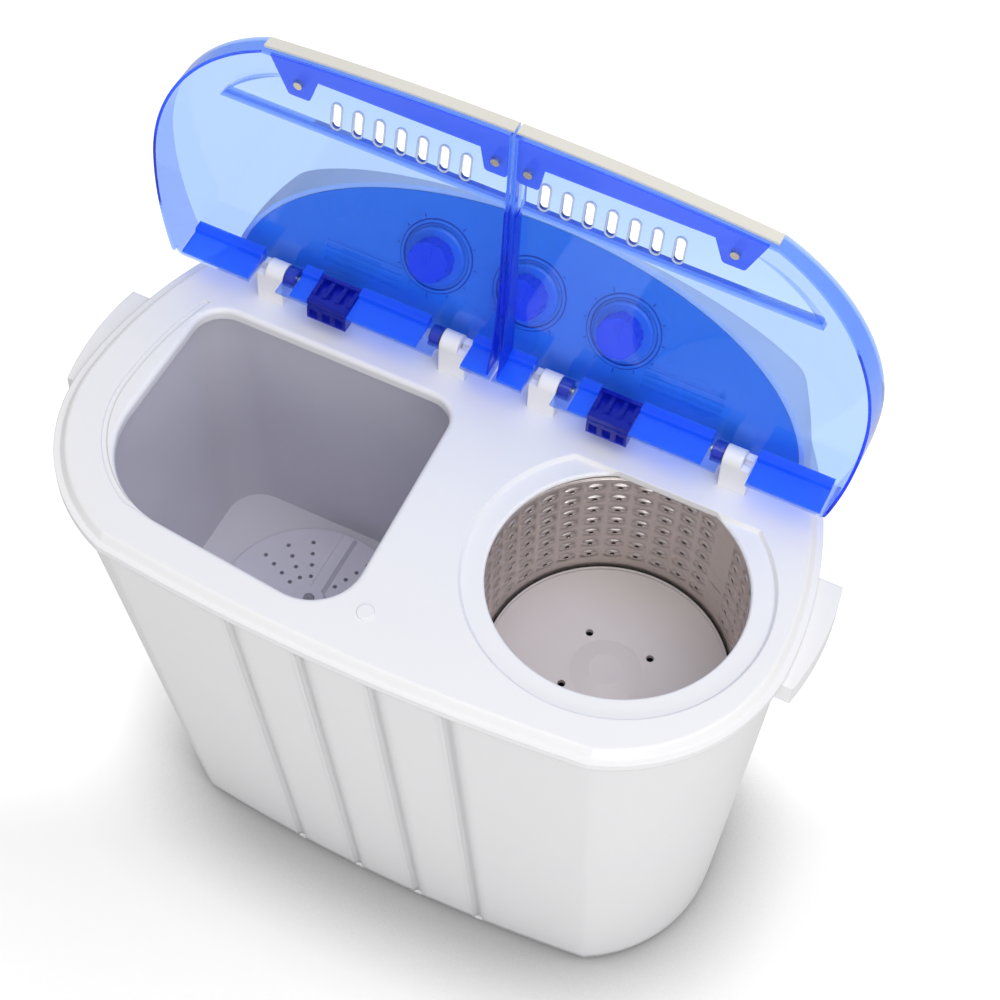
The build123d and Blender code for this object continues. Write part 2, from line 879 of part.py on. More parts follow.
# Lids: two wedge-shaped translucent covers with a scooped, slotted front and hinge knuckles
for lid_name, side in (("wash_lid", -1), ("spin_lid", 1)):
    outer_lug, inner_lug = sorted(lug_places[side], key=abs, reverse=True)
    slot_row_x = wash_slot_row_x if side < 0 else spin_slot_row_x

    with BuildPart() as lid_room:
        lid_wedge(side, lid_wall, lid_wall)

    with BuildPart() as scoop_outside:
        scoop_wedge(side, scoop_cut_margin)

    with BuildPart() as scoop_inside:
        scoop_wedge(side, lid_wall)

    with BuildPart() as lid:
        lid_wedge(side, 0, 0)
        add(lid_room.part, mode=Mode.SUBTRACT)
        add(scoop_inside.part)
        add(scoop_outside.part, mode=Mode.SUBTRACT)
        with BuildSketch(lid_plane):
            with Locations((slot_row_x, slot_reach - lid_length)):
                with GridLocations(slot_pitch, 0, slot_count, 1):
                    SlotOverall(slot_length, slot_width, rotation=90)
        extrude(amount=-scoop_depth - 2 * lid_wall, mode=Mode.SUBTRACT)
        with BuildSketch(lid_plane.offset(-lid_back_depth)):
            with Locations((side * lid_gap / 2, 0)):
                edge = Align.MIN if side > 0 else Align.MAX
                Rectangle(lid_length + lid_kink_x, 2 * rear_clear_strip, align=(edge, Align.CENTER))
        extrude(amount=-lid_back_depth, mode=Mode.SUBTRACT)
        with BuildSketch(lid_plane.offset(-lid_middle_depth)):
            with Locations((side * (lid_gap + lid_wall) / 2, -lid_length / 2)):
                Rectangle(2 * lid_wall, lid_length - 2 * lid_wall)
        extrude(amount=-lid_back_depth, mode=Mode.SUBTRACT)
        with BuildSketch(lid_plane.offset(-lid_wall)):
            for tab_x in (grip_tab_outer_x, grip_tab_inner_x):
                with Locations((side * tab_x, -lid_length + lid_screw_reach)):
                    Circle(screw_boss_radius)
        extrude(amount=-lid_front_depth + lid_wall + grip_plate_thickness)
        for lug_x in (outer_lug, inner_lug):
            inward = 1 if (lug_x == outer_lug) == (side < 0) else -1
            notch_start = lug_x - inward * (lug_width / 2 + lug_shoulder_width + notch_clearance)
            knuckle_start = lug_x + inward * (lug_width / 2 + side_gap)
            knuckle_end = knuckle_start + inward * knuckle_width
            with BuildSketch(lid_plane.offset(-lid_wall)):
                with Locations(((notch_start + knuckle_start) / 2, 0)):
                    Rectangle(abs(knuckle_start - notch_start), 4 * lid_wall)
            extrude(amount=-2 * lid_back_depth, mode=Mode.SUBTRACT)
            with BuildSketch(lid_side_plane.offset(knuckle_start)):
                with Locations((0, -lid_rise)):
                    Circle(knuckle_radius)
            extrude(amount=inward * knuckle_width)
            with BuildSketch(lid_side_plane.offset(knuckle_start - inward * side_gap)):
                with Locations((0, -lid_rise)):
                    Circle(pin_radius + running_fit)
            extrude(amount=inward * (knuckle_width + 2 * side_gap), mode=Mode.SUBTRACT)
            with BuildSketch(lid_side_plane.offset(knuckle_end)):
                with Locations((0, -lid_rise)):
                    Rectangle(2 * pin_head_room, 2 * pin_head_room)
            extrude(amount=inward * (2 * side_gap + pin_head_height), mode=Mode.SUBTRACT)
    save(lid.part, lid_name)

    # Grip plate: dark plate under the lid's front edge, with a tab for a screw near each end
    tab_foot_outer_x = grip_tab_outer_x - grip_tab_width / 2 - grip_tab_flare
    tab_foot_inner_x = grip_tab_inner_x + grip_tab_width / 2 + grip_tab_flare / 2
    with BuildPart() as grip_plate:
        with BuildSketch(lid_plane.offset(-lid_front_depth)):
            lid_half(side, lid_wall + grip_plate_fit)
            with BuildLine() as outline:
                Polyline(
                    (0, -lid_length),
                    (side * grip_plate_end_x, -lid_length),
                    (side * (grip_tab_outer_x + grip_tab_width / 2), grip_tab_reach - lid_length),
                    (side * (grip_tab_outer_x - grip_tab_width / 2), grip_tab_reach - lid_length),
                    (side * tab_foot_outer_x, grip_plate_reach - lid_length),
                    (side * tab_foot_inner_x, grip_plate_reach - lid_length),
                    (side * (grip_tab_inner_x + grip_tab_width / 2), grip_tab_reach - lid_length),
                    (0, grip_tab_reach - lid_length),
                    close=True,
                )
            make_face(outline.edges(), mode=Mode.INTERSECT)
            fillet(vertices().group_by(Axis.Y)[-1], radius=grip_tab_round)
        extrude(amount=grip_plate_thickness)
        with BuildSketch(lid_plane.offset(-lid_front_depth)):
            for tab_x in (grip_tab_outer_x, grip_tab_inner_x):
                with Locations((side * tab_x, -lid_length + lid_screw_reach)):
                    Circle(lid_screw_radius)
        extrude(amount=grip_plate_thickness, mode=Mode.SUBTRACT)
    save(grip_plate.part, f"{lid_name}_grip_plate")

    # Lid screws: two small screws that hold the grip plate to the lid's bosses
    with BuildPart() as lid_screws:
        for tab_x in (grip_tab_outer_x, grip_tab_inner_x):
            screw_place = (side * tab_x, -lid_length + lid_screw_reach)
            with BuildSketch(lid_plane.offset(-lid_front_depth)):
                with Locations(screw_place):
                    Circle(lid_screw_head)
            extrude(amount=-lid_screw_head_height)
            with BuildSketch(lid_plane.offset(-lid_front_depth)):
                with Locations(screw_place):
                    Circle(lid_screw_radius)
            extrude(amount=grip_plate_thickness)
    save(lid_screws.part, f"{lid_name}_screws")

    # Grip strip: pale bowed strip on the lid's front edge
    with BuildPart() as grip_strip:
        with BuildSketch(lid_plane.offset(-strip_drop)):
            lid_outline(-strip_thickness)
            with BuildSketch(mode=Mode.PRIVATE) as lid_plan:
                lid_outline(0)
            add(lid_plan.sketch, mode=Mode.SUBTRACT)
            with Locations((side * (strip_end_x + lid_gap / 2) / 2, -lid_length)):
                Rectangle(strip_end_x - lid_gap / 2, lid_corner_reach, mode=Mode.INTERSECT)
        extrude(amount=-strip_height)
    save(grip_strip.part, f"{lid_name}_grip_strip")

    # Lid finger: stepped block on the lid's rear wall, ribbed on the side that shows when open
    finger_x = wash_finger_x if side < 0 else spin_finger_x
    with BuildPart() as lid_finger:
        with BuildSketch(lid_side_plane.offset(finger_x - finger_width / 2)):
            with BuildLine():
                Polyline(
                    (0, -finger_top),
                    (finger_step, -finger_top),
                    (finger_step, -finger_middle),
                    (finger_reach, -finger_middle),
                    (finger_reach, -lid_back_depth),
                    (0, -lid_back_depth),
                    close=True,
                )
            make_face()
        extrude(amount=finger_width)
        with BuildSketch(lid_plane.offset(-lid_back_depth)):
            with Locations((finger_x, finger_reach / 2)):
                with GridLocations(finger_width / finger_slot_count, 0, finger_slot_count, 1):
                    Rectangle(finger_slot_width, finger_reach - finger_slot_depth)
        extrude(amount=finger_slot_depth, mode=Mode.SUBTRACT)
    save(lid_finger.part, f"{lid_name}_finger")


def half_ellipse(inset, foot):
    """Half ellipse of the panel in its own plane, cut off below its foot."""
    Ellipse(panel_half_width - inset, panel_height - inset)
    with Locations((0, foot)):
        Rectangle(
            2 * panel_half_width, panel_height - foot,
            align=(Align.CENTER, Align.MIN), mode=Mode.INTERSECT,
        )


def hood_block(inset, drop):
    """Block of the panel housing behind its sloping face, drawn inset, lowered by a drop."""
    foot = (panel_z - deck_top) / cos(radians(panel_lean)) + 2 * drop
    with BuildSketch(panel_plane.offset(-inset)) as face:
        half_ellipse(inset, -foot)
    extrude(face.sketch, amount=panel_height, dir=(0, 1, 0))
    with BuildSketch(Plane.XY.offset(deck_top - drop)) as plan:
        rim_outline(plateau_top_inset + inset, back_inset=inset)
    extrude(plan.sketch, amount=2 * panel_height, mode=Mode.INTERSECT)


# Panel housing: hollow hood behind the deck with a sloping half-round face
with BuildPart() as hood_room:
    hood_block(housing_wall, housing_wall)

with BuildPart() as panel_housing:
    hood_block(0, 0)
    add(hood_room.part, mode=Mode.SUBTRACT)
    with BuildSketch(panel_plane):
        half_ellipse(fascia_border, fascia_border)
    extrude(amount=-fascia_recess, mode=Mode.SUBTRACT)
    with BuildSketch(panel_plane):
        with Locations(*[(x, knob_height_up) for x in knob_places]):
            Circle(stem_hole_radius)
    extrude(amount=-2 * housing_wall, mode=Mode.SUBTRACT)
save(panel_housing.part, "panel_housing")

# Control panel: half-round plate let into the hood, with a raised ring round each knob
fascia_face = panel_plane.offset(fascia_thickness - fascia_recess)
with BuildPart() as control_panel:
    with BuildSketch(panel_plane.offset(-fascia_recess)):
        half_ellipse(fascia_border + fascia_fit, fascia_border + fascia_fit)
    extrude(amount=fascia_thickness)
    with BuildSketch(fascia_face):
        with Locations(*[(x, knob_height_up) for x in knob_places]):
            Circle(ring_radius)
            Circle(ring_radius - ring_width, mode=Mode.SUBTRACT)
    extrude(amount=ring_height)
    with BuildSketch(fascia_face):
        with Locations((-field_x, field_y), (field_x, field_y)):
            with GridLocations(0, field_height / field_rib_count, 1, field_rib_count):
                Rectangle(field_width, field_height / field_rib_count / 2)
    extrude(amount=-field_depth, mode=Mode.SUBTRACT)
    with BuildSketch(fascia_face):
        with Locations(*[(x, knob_height_up) for x in knob_places]):
            Circle(stem_hole_radius)
    extrude(amount=-2 * fascia_thickness, mode=Mode.SUBTRACT)
save(control_panel.part, "control_panel")

# Knobs: fluted grips on a wide skirt, each on a stem that reaches into its timer or switch
knob_names = ["wash_timer_knob", "drain_knob", "spin_timer_knob"]
for knob_name, knob_x in zip(knob_names, knob_places):
    with BuildPart() as knob:
        with BuildSketch(fascia_face.offset(knob_gap)):
            with Locations((knob_x, knob_height_up)):
                Circle(knob_skirt_radius)
        extrude(amount=knob_skirt)
        skirt_rim = knob.edges().sort_by(Axis(panel_plane.origin, panel_plane.z_dir))[-1]
        chamfer(skirt_rim, length=skirt_chamfer)
        with BuildSketch(fascia_face.offset(knob_gap + knob_skirt)):
            with Locations((knob_x, knob_height_up)):
                Circle(knob_radius)
                with PolarLocations(knob_radius + flute_radius / 2, flute_count):
                    Circle(flute_radius, mode=Mode.SUBTRACT)
        extrude(amount=knob_tall - knob_skirt, taper=knob_taper)
        with BuildSketch(fascia_face.offset(knob_gap + knob_tall)):
            with Locations((knob_x, knob_height_up + pointer_length / 2)):
                Rectangle(pointer_width, pointer_length)
        extrude(amount=pointer_height)
        with BuildSketch(fascia_face.offset(knob_gap)):
            with Locations((knob_x, knob_height_up)):
                Circle(stem_radius)
        extrude(amount=-stem_length)
    save(knob.part, knob_name)

# Timers and the drain switch: boxes behind the panel, one on each knob's stem
switch_names = ["wash_timer", "drain_switch", "spin_timer"]
for switch_name, switch_x in zip(switch_names, knob_places):
    with BuildPart() as switch_box:
        with BuildSketch(panel_plane.offset(-housing_wall)):
            with Locations((switch_x, timer_low_edge)):
                Rectangle(timer_width, timer_length, align=(Align.CENTER, Align.MIN))
            with Locations((switch_x, knob_height_up)):
                Circle(stem_radius + running_fit, mode=Mode.SUBTRACT)
        extrude(amount=-timer_depth)
    save(switch_box.part, switch_name)

# Rear cover: slotted plate over the service opening
cover_middle_z = cover_bottom + cover_height / 2
with BuildPart() as rear_cover:
    with BuildSketch(Plane.XZ.offset(-casing_back)):
        with Locations((0, cover_middle_z)):
            RectangleRounded(cover_width, cover_height, cover_overlap / 2)
        with Locations((0, cover_middle_z)):
            with GridLocations(vent_pitch_x, vent_pitch_z, vent_columns, vent_rows):
                SlotOverall(vent_length, vent_width, mode=Mode.SUBTRACT)
        with Locations((0, cover_middle_z)):
            with GridLocations(cover_width - cover_overlap, cover_height - cover_overlap, 2, 2):
                Circle(cover_screw_radius, mode=Mode.SUBTRACT)
    extrude(amount=-cover_plate)
save(rear_cover.part, "rear_cover")

# Rear cover screws: four screws through the cover into the casing's back
with BuildPart() as cover_screws:
    with BuildSketch(Plane.XZ.offset(-casing_back - cover_plate)):
        with Locations((0, cover_middle_z)):
            with GridLocations(cover_width - cover_overlap, cover_height - cover_overlap, 2, 2):
                Circle(cover_screw_head)
    extrude(amount=-cover_screw_head_height)
    with BuildSketch(Plane.XZ.offset(-casing_back - cover_plate)):
        with Locations((0, cover_middle_z)):
            with GridLocations(cover_width - cover_overlap, cover_height - cover_overlap, 2, 2):
                Circle(cover_screw_radius)
    extrude(amount=cover_plate + 2 * casing_wall)
save(cover_screws.part, "rear_cover_screws")

# Cord gland: flanged bush in the casing's back, bored for a supply cord
with BuildPart() as cord_gland:
    with BuildSketch(Plane.XZ.offset(-casing_back)):
        with Locations((gland_x, gland_z)):
            Circle(gland_flange)
    extrude(amount=-gland_flange_thickness)
    with BuildSketch(Plane.XZ.offset(-casing_back)):
        with Locations((gland_x, gland_z)):
            Circle(gland_radius)
    extrude(amount=3 * casing_wall)
    with BuildSketch(Plane.XZ.offset(-casing_back - gland_flange_thickness)):
        with Locations((gland_x, gland_z)):
            Circle(cord_radius)
    extrude(amount=4 * gland_flange_thickness, mode=Mode.SUBTRACT)
save(cord_gland.part, "cord_gland")

# Wash bearing: flanged housing under the tub floor, its neck standing in the tub's hole
tub_under = tub_floor_z - tub_floor
neck_top = tub_floor_z + bearing_neck_height
with BuildPart() as wash_bearing:
    with BuildSketch(wash_plane.offset(tub_under - bearing_flange_thickness)):
        Circle(bearing_flange_radius)
    extrude(amount=bearing_flange_thickness)
    with BuildSketch(wash_plane.offset(tub_under - bearing_length)):
        Circle(bearing_sleeve_radius)
    extrude(amount=bearing_length)
    with BuildSketch(wash_plane.offset(tub_under)):
        Circle(bearing_neck_radius)
    extrude(amount=neck_top - tub_under)
    with BuildSketch(wash_plane.offset(neck_top)):
        Circle(drive_shaft_radius + running_fit)
    extrude(amount=-bearing_length - tub_floor - bearing_neck_height, mode=Mode.SUBTRACT)
save(wash_bearing.part, "wash_bearing")

# Wash shaft seal: rubber ring on the bearing's neck, round the shaft
with BuildPart() as wash_seal:
    with BuildSketch(wash_plane.offset(neck_top)):
        Circle(bearing_neck_radius)
        Circle(drive_shaft_radius + running_fit, mode=Mode.SUBTRACT)
    extrude(amount=seal_height)
    seal_rim = wash_seal.edges().group_by(Axis.Z)[-1].sort_by(SortBy.RADIUS)[-1]
    chamfer(seal_rim, length=seal_chamfer)
save(wash_seal.part, "wash_shaft_seal")

# Pulsator: ribbed disc with radial rows of holes, hollow round the seal
pulsator_bottom = tub_floor_z + pulsator_gap
pulsator_face = pulsator_bottom + pulsator_thickness
pulsator_top = pulsator_face + pulsator_hub_height
with BuildPart() as pulsator:
    with BuildSketch(wash_plane.offset(pulsator_bottom)):
        Circle(pulsator_radius)
    extrude(amount=pulsator_thickness)
    fillet(pulsator.edges().group_by(Axis.Z)[-1], radius=pulsator_edge_round)
    with BuildSketch(wash_plane.offset(pulsator_face)):
        with PolarLocations(0, vane_count):
            Rectangle(pulsator_radius - vane_end_gap, vane_width, align=(Align.MIN, Align.CENTER))
    extrude(amount=vane_height, taper=vane_taper)
    with BuildSketch(wash_plane.offset(pulsator_face)):
        Circle(pulsator_hub_radius)
    extrude(amount=pulsator_hub_height, taper=vane_taper)
    with BuildSketch(wash_plane.offset(pulsator_bottom)):
        for vane in range(vane_count):
            sector = 360 / vane_count * (vane + 0.5)
            for row in (-1, 0, 1):
                for hole in range(pulsator_holes_per_row):
                    reach = pulsator_first_hole + hole * pulsator_hole_pitch
                    with PolarLocations(reach, 1, sector + row * pulsator_row_angle):
                        Circle(pulsator_hole_radius)
    extrude(amount=pulsator_thickness, mode=Mode.SUBTRACT)
    with BuildSketch(wash_plane.offset(pulsator_bottom)):
        Circle(bearing_neck_radius + seal_room)
    extrude(amount=seal_height + seal_room, mode=Mode.SUBTRACT)
    with BuildSketch(wash_plane.offset(pulsator_bottom)):
        Circle(drive_shaft_radius)
    extrude(amount=pulsator_top - pulsator_bottom - hub_cap, mode=Mode.SUBTRACT)
    with BuildSketch(wash_plane.offset(pulsator_top)):
        Circle(hub_screw_radius)
    extrude(amount=-hub_cap, mode=Mode.SUBTRACT)
save(pulsator.part, "pulsator")

# Pulsator screw: holds the pulsator down on its shaft
with BuildPart() as pulsator_screw:
    with BuildSketch(wash_plane.offset(pulsator_top)):
        Circle(hub_screw_head)
    extrude(amount=hub_screw_head_height)
    chamfer(pulsator_screw.edges().group_by(Axis.Z)[-1], length=hub_screw_head_height / 3)
    with BuildSketch(wash_plane.offset(pulsator_top)):
        Circle(hub_screw_radius)
    extrude(amount=-hub_cap - hub_screw_depth)
save(pulsator_screw.part, "pulsator_screw")

# Pulsator shaft: steel shaft from the wash pulley up into the pulsator
with BuildPart() as pulsator_shaft:
    with BuildSketch(wash_plane.offset(pulley_z - shaft_tail)):
        Circle(drive_shaft_radius)
    extrude(amount=pulsator_top - hub_cap - pulley_z + shaft_tail)
    with BuildSketch(wash_plane.offset(pulsator_top - hub_cap)):
        Circle(hub_screw_radius)
    extrude(amount=-hub_screw_depth, mode=Mode.SUBTRACT)
save(pulsator_shaft.part, "pulsator_shaft")


def pulley_profile(radius, bore):
    """Half section of a grooved pulley, from its bore to its rim."""
    flange = (pulley_height - belt_width) / 2 - belt_clearance
    groove = radius - belt_groove_depth
    with BuildLine() as outline:
        Polyline(
            (bore, 0),
            (radius, 0),
            (radius, flange),
            (groove, flange),
            (groove, pulley_height - flange),
            (radius, pulley_height - flange),
            (radius, pulley_height),
            (bore, pulley_height),
            close=True,
        )
    make_face(outline.edges())


# Wash pulley: large pulley on the pulsator shaft, lightened by round holes
wash_axis = Axis((pulsator_x, pulsator_y, 0), (0, 0, 1))
with BuildPart() as wash_pulley:
    with BuildSketch(upright_plane(pulsator_x, pulsator_y, pulley_z)):
        pulley_profile(wash_pulley_radius, drive_shaft_radius)
    revolve(axis=wash_axis)
    with BuildSketch(wash_plane.offset(pulley_z)):
        with PolarLocations(pulley_hole_circle_radius, pulley_hole_count):
            Circle(pulley_hole_radius)
    extrude(amount=pulley_height, mode=Mode.SUBTRACT)
save(wash_pulley.part, "wash_pulley")

# Motor pulley: small pulley with the wash motor's rotor shaft
motor_axis = Axis((wash_motor_x, wash_motor_y, 0), (0, 0, 1))
with BuildPart() as motor_pulley:
    with BuildSketch(upright_plane(wash_motor_x, wash_motor_y, pulley_z)):
        pulley_profile(motor_pulley_radius, 0)
    revolve(axis=motor_axis)
    with BuildSketch(wash_motor_plane.offset(pulley_z)):
        Circle(rotor_radius)
    extrude(amount=wash_motor_top - rotor_depth - pulley_z)
save(motor_pulley.part, "motor_pulley")

# Drive belt: flat loop lying in the grooves of both pulleys
belt_z = pulley_z + (pulley_height - belt_width) / 2


def belt_loop(grow):
    """Outline round both pulleys at the depth of their grooves, grown outward."""
    seat = belt_clearance - belt_groove_depth + grow
    with Locations((pulsator_x, pulsator_y)):
        Circle(wash_pulley_radius + seat)
    with Locations((wash_motor_x, wash_motor_y)):
        Circle(motor_pulley_radius + seat)
    make_hull()


with BuildPart() as drive_belt:
    with BuildSketch(Plane.XY.offset(belt_z)):
        belt_loop(belt_thickness)
    extrude(amount=belt_width)
    with BuildSketch(Plane.XY.offset(belt_z)):
        belt_loop(0)
    extrude(amount=belt_width, mode=Mode.SUBTRACT)
save(drive_belt.part, "drive_belt")

# Wash motor bracket: plate on three posts that stand in the tray
with BuildPart() as wash_bracket:
    with BuildSketch(wash_motor_plane.offset(casing_bottom)):
        with PolarLocations(wash_motor_radius, mount_count):
            Circle(bracket_post_radius)
    extrude(amount=wash_motor_bottom - casing_bottom)
    with BuildSketch(wash_motor_plane.offset(wash_motor_bottom - bracket_plate)):
        Circle(wash_motor_radius + bracket_post_radius + bracket_edge)
        Circle(bracket_hole_radius, mode=Mode.SUBTRACT)
    extrude(amount=bracket_plate)
save(wash_bracket.part, "wash_motor_bracket")


def motor_body(plane, radius, bottom, top, cap_radius, cap_height, bore, depth):
    """Round motor with a smaller end cap, bored from above for its rotor shaft."""
    with BuildSketch(plane.offset(bottom)) as body:
        Circle(radius)
    extrude(body.sketch, amount=top - bottom)
    chamfer(edges().group_by(Axis.Z)[-1], length=motor_edge)
    with BuildSketch(plane.offset(top)) as cap:
        Circle(cap_radius)
    extrude(cap.sketch, amount=cap_height)
    with BuildSketch(plane.offset(top + cap_height)) as shaft_hole:
        Circle(bore)
    extrude(shaft_hole.sketch, amount=-depth, mode=Mode.SUBTRACT)


# Wash motor: upright motor that turns the small pulley
with BuildPart() as wash_motor:
    motor_body(
        wash_motor_plane, wash_motor_radius, wash_motor_bottom, wash_motor_top - motor_cap_height,
        wash_cap_radius, motor_cap_height, rotor_radius + running_fit,
        rotor_depth + running_fit,
    )
save(wash_motor.part, "wash_motor")

# Spin motor mounts: three waisted rubber mounts that stand in the tray
with BuildPart() as spin_mounts:
    with BuildSketch(spin_plane.offset(casing_bottom)):
        with PolarLocations(mount_circle_radius, mount_count, 90):
            Circle(mount_radius)
    extrude(amount=mount_cup)
    with BuildSketch(spin_plane.offset(casing_bottom)):
        with PolarLocations(mount_circle_radius, mount_count, 90):
            Circle(mount_radius - mount_waist)
    extrude(amount=spin_motor_bottom - casing_bottom)
    with BuildSketch(spin_plane.offset(spin_motor_bottom)):
        with PolarLocations(mount_circle_radius, mount_count, 90):
            Circle(mount_radius)
    extrude(amount=-mount_cup)
save(spin_mounts.part, "spin_motor_mounts")

# Spin motor: upright motor under the basket, on a flange that rests on the mounts
with BuildPart() as spin_motor:
    motor_body(
        spin_plane, spin_motor_radius, spin_motor_bottom, spin_motor_top,
        motor_cap_radius, motor_cap_height, spin_shaft_radius + running_fit,
        spin_rotor_depth + running_fit,
    )
    with BuildSketch(spin_plane.offset(spin_motor_bottom)):
        Circle(spin_motor_radius + motor_flange)
    extrude(amount=bracket_plate)
save(spin_motor.part, "spin_motor")

# Brake bracket: plate on the spin motor's cap with the brake lever's pivot pin
cap_top = spin_motor_top + motor_cap_height
with BuildPart() as brake_bracket:
    with BuildSketch(spin_plane.offset(cap_top)):
        Circle(motor_cap_radius)
        with Locations((brake_pivot_x, brake_pivot_y)):
            Circle(brake_boss_radius)
        make_hull()
        Circle(spin_shaft_radius + shaft_room, mode=Mode.SUBTRACT)
    extrude(amount=bracket_plate)
    with BuildSketch(spin_plane.offset(cap_top)):
        with Locations((brake_pivot_x, brake_pivot_y)):
            Circle(brake_pin_radius)
    extrude(amount=brake_arm_z + brake_arm_height - cap_top + brake_pin_radius)
save(brake_bracket.part, "brake_bracket")

# Brake lever: arm on the pivot pin that carries a curved pad against the brake drum
pad_inner = brake_drum_radius + brake_gap
pad_outer = pad_inner + brake_pad_thickness
with BuildPart() as brake_lever:
    with BuildSketch(spin_plane.offset(brake_arm_z)):
        with Locations((brake_pivot_x, brake_pivot_y)):
            Circle(brake_boss_radius)
        with PolarLocations(pad_outer + brake_arm_end, 1, 90 + brake_pad_half_angle):
            Circle(brake_arm_end)
        make_hull()
    extrude(amount=brake_arm_height)
    with BuildSketch(spin_plane.offset(brake_arm_z)):
        Circle(pad_outer + brake_arm_end)
        Circle(pad_inner, mode=Mode.SUBTRACT)
        with BuildLine():
            reach = 2 * pad_outer
            start = radians(90 - brake_pad_half_angle)
            end = radians(90 + brake_pad_half_angle)
            Polyline(
                (0, 0),
                (reach * cos(start), reach * sin(start)),
                (reach * cos(end), reach * sin(end)),
                close=True,
            )
        make_face(mode=Mode.INTERSECT)
    extrude(amount=brake_arm_height)
    with BuildSketch(spin_plane.offset(cap_top + bracket_plate + side_gap)):
        with Locations((brake_pivot_x, brake_pivot_y)):
            Circle(brake_boss_radius)
    extrude(until=Until.NEXT, target=brake_lever.part)
    with BuildSketch(spin_plane.offset(cap_top)):
        with Locations((brake_pivot_x, brake_pivot_y)):
            Circle(brake_pin_radius + running_fit)
    extrude(amount=brake_arm_z + brake_arm_height - cap_top, mode=Mode.SUBTRACT)
save(brake_lever.part, "brake_lever")

# Brake drum: steel cup on the spin shaft that the brake pad grips
spin_axis = Axis((spin_x, spin_y, 0), (0, 0, 1))
with BuildPart() as brake_drum:
    with BuildSketch(spin_plane.offset(brake_drum_z)):
        Circle(brake_drum_radius)
    extrude(amount=brake_drum_height)
    with BuildSketch(spin_plane.offset(brake_drum_z)):
        Circle(brake_drum_radius - brake_drum_wall)
        Circle(brake_hub_radius, mode=Mode.SUBTRACT)
    extrude(amount=brake_drum_height - brake_drum_wall, mode=Mode.SUBTRACT)
    with Locations((spin_x, spin_y, brake_drum_z)):
        Hole(spin_shaft_radius)
save(brake_drum.part, "brake_drum")

# Spin shaft: steel shaft from the motor up through the drum into the basket's base
basket_hub_top = basket_floor_z + basket_dome_height
with BuildPart() as spin_shaft:
    with BuildSketch(spin_plane.offset(cap_top - spin_rotor_depth)):
        Circle(spin_shaft_radius)
    extrude(amount=basket_hub_top - hub_cap - cap_top + spin_rotor_depth)
save(spin_shaft.part, "spin_shaft")

# Spin shaft seal: rubber bush in the drum's floor, round the shaft
with BuildPart() as spin_seal:
    with BuildSketch(spin_plane.offset(drum_floor_z)):
        Circle(spin_seal_radius + spin_seal_lip)
    extrude(amount=spin_seal_lip_height)
    with BuildSketch(spin_plane.offset(drum_floor_z)):
        Circle(spin_seal_radius)
    extrude(amount=-spin_seal_length)
    with Locations((spin_x, spin_y, drum_floor_z)):
        Hole(spin_shaft_radius + running_fit)
save(spin_seal.part, "spin_shaft_seal")

# Spin basket: thin perforated wall with a rolled rim and a flange that carries the base
basket_foot_z = basket_floor_z - basket_floor - basket_wall
with BuildPart() as spin_basket:
    with BuildSketch(spin_side_plane):
        with BuildLine():
            Polyline(
                (basket_foot_radius - basket_flange, basket_foot_z),
                (basket_foot_radius + basket_wall, basket_foot_z),
                (basket_radius + basket_wall, basket_top - basket_rim),
                (basket_radius + basket_wall + basket_rim, basket_top - basket_rim),
                (basket_radius + basket_wall + basket_rim, basket_top),
                (basket_radius, basket_top),
                (basket_foot_radius, basket_foot_z + basket_wall),
                (basket_foot_radius - basket_flange, basket_foot_z + basket_wall),
                close=True,
            )
        make_face()
    revolve(axis=spin_axis)
    hole_low = basket_floor_z + basket_hole_margin
    hole_step = (basket_top - basket_hole_margin - hole_low) / (basket_hole_rows - 1)
    for row in range(basket_hole_rows):
        turn = 180 / basket_holes_per_row * (row % 2)
        row_plane = spin_plane.offset(hole_low + row * hole_step)
        with Locations(row_plane):
            with PolarLocations(basket_radius, basket_holes_per_row, turn):
                Cylinder(
                    basket_hole_radius, 4 * basket_wall + basket_rim,
                    rotation=(0, 90, 0), mode=Mode.SUBTRACT,
                )
save(spin_basket.part, "spin_basket")

# Basket base: disc with a low dome, a hub beneath and four drain holes, seated on the flange
with BuildPart() as basket_base:
    with BuildSketch(spin_plane.offset(basket_floor_z - basket_floor)):
        Circle(basket_foot_radius)
    extrude(amount=basket_floor)
    with BuildSketch(spin_plane.offset(basket_floor_z)):
        Circle(basket_dome_radius)
    extrude(amount=basket_dome_height, taper=basket_dome_taper)
    with BuildSketch(spin_plane.offset(basket_floor_z - basket_floor)):
        Circle(basket_hub_radius)
    extrude(amount=-basket_hub_depth)
    with BuildSketch(spin_plane.offset(basket_floor_z)):
        with PolarLocations(drain_hole_circle_radius, drain_hole_count, drain_hole_turn):
            Circle(drain_hole_radius)
    extrude(amount=-basket_floor, mode=Mode.SUBTRACT)
    with BuildSketch(spin_plane.offset(basket_floor_z - basket_floor - basket_hub_depth)):
        Circle(spin_shaft_radius)
    extrude(
        amount=basket_hub_top - hub_cap - basket_floor_z + basket_floor + basket_hub_depth,
        mode=Mode.SUBTRACT,
    )
save(basket_base.part, "basket_base")

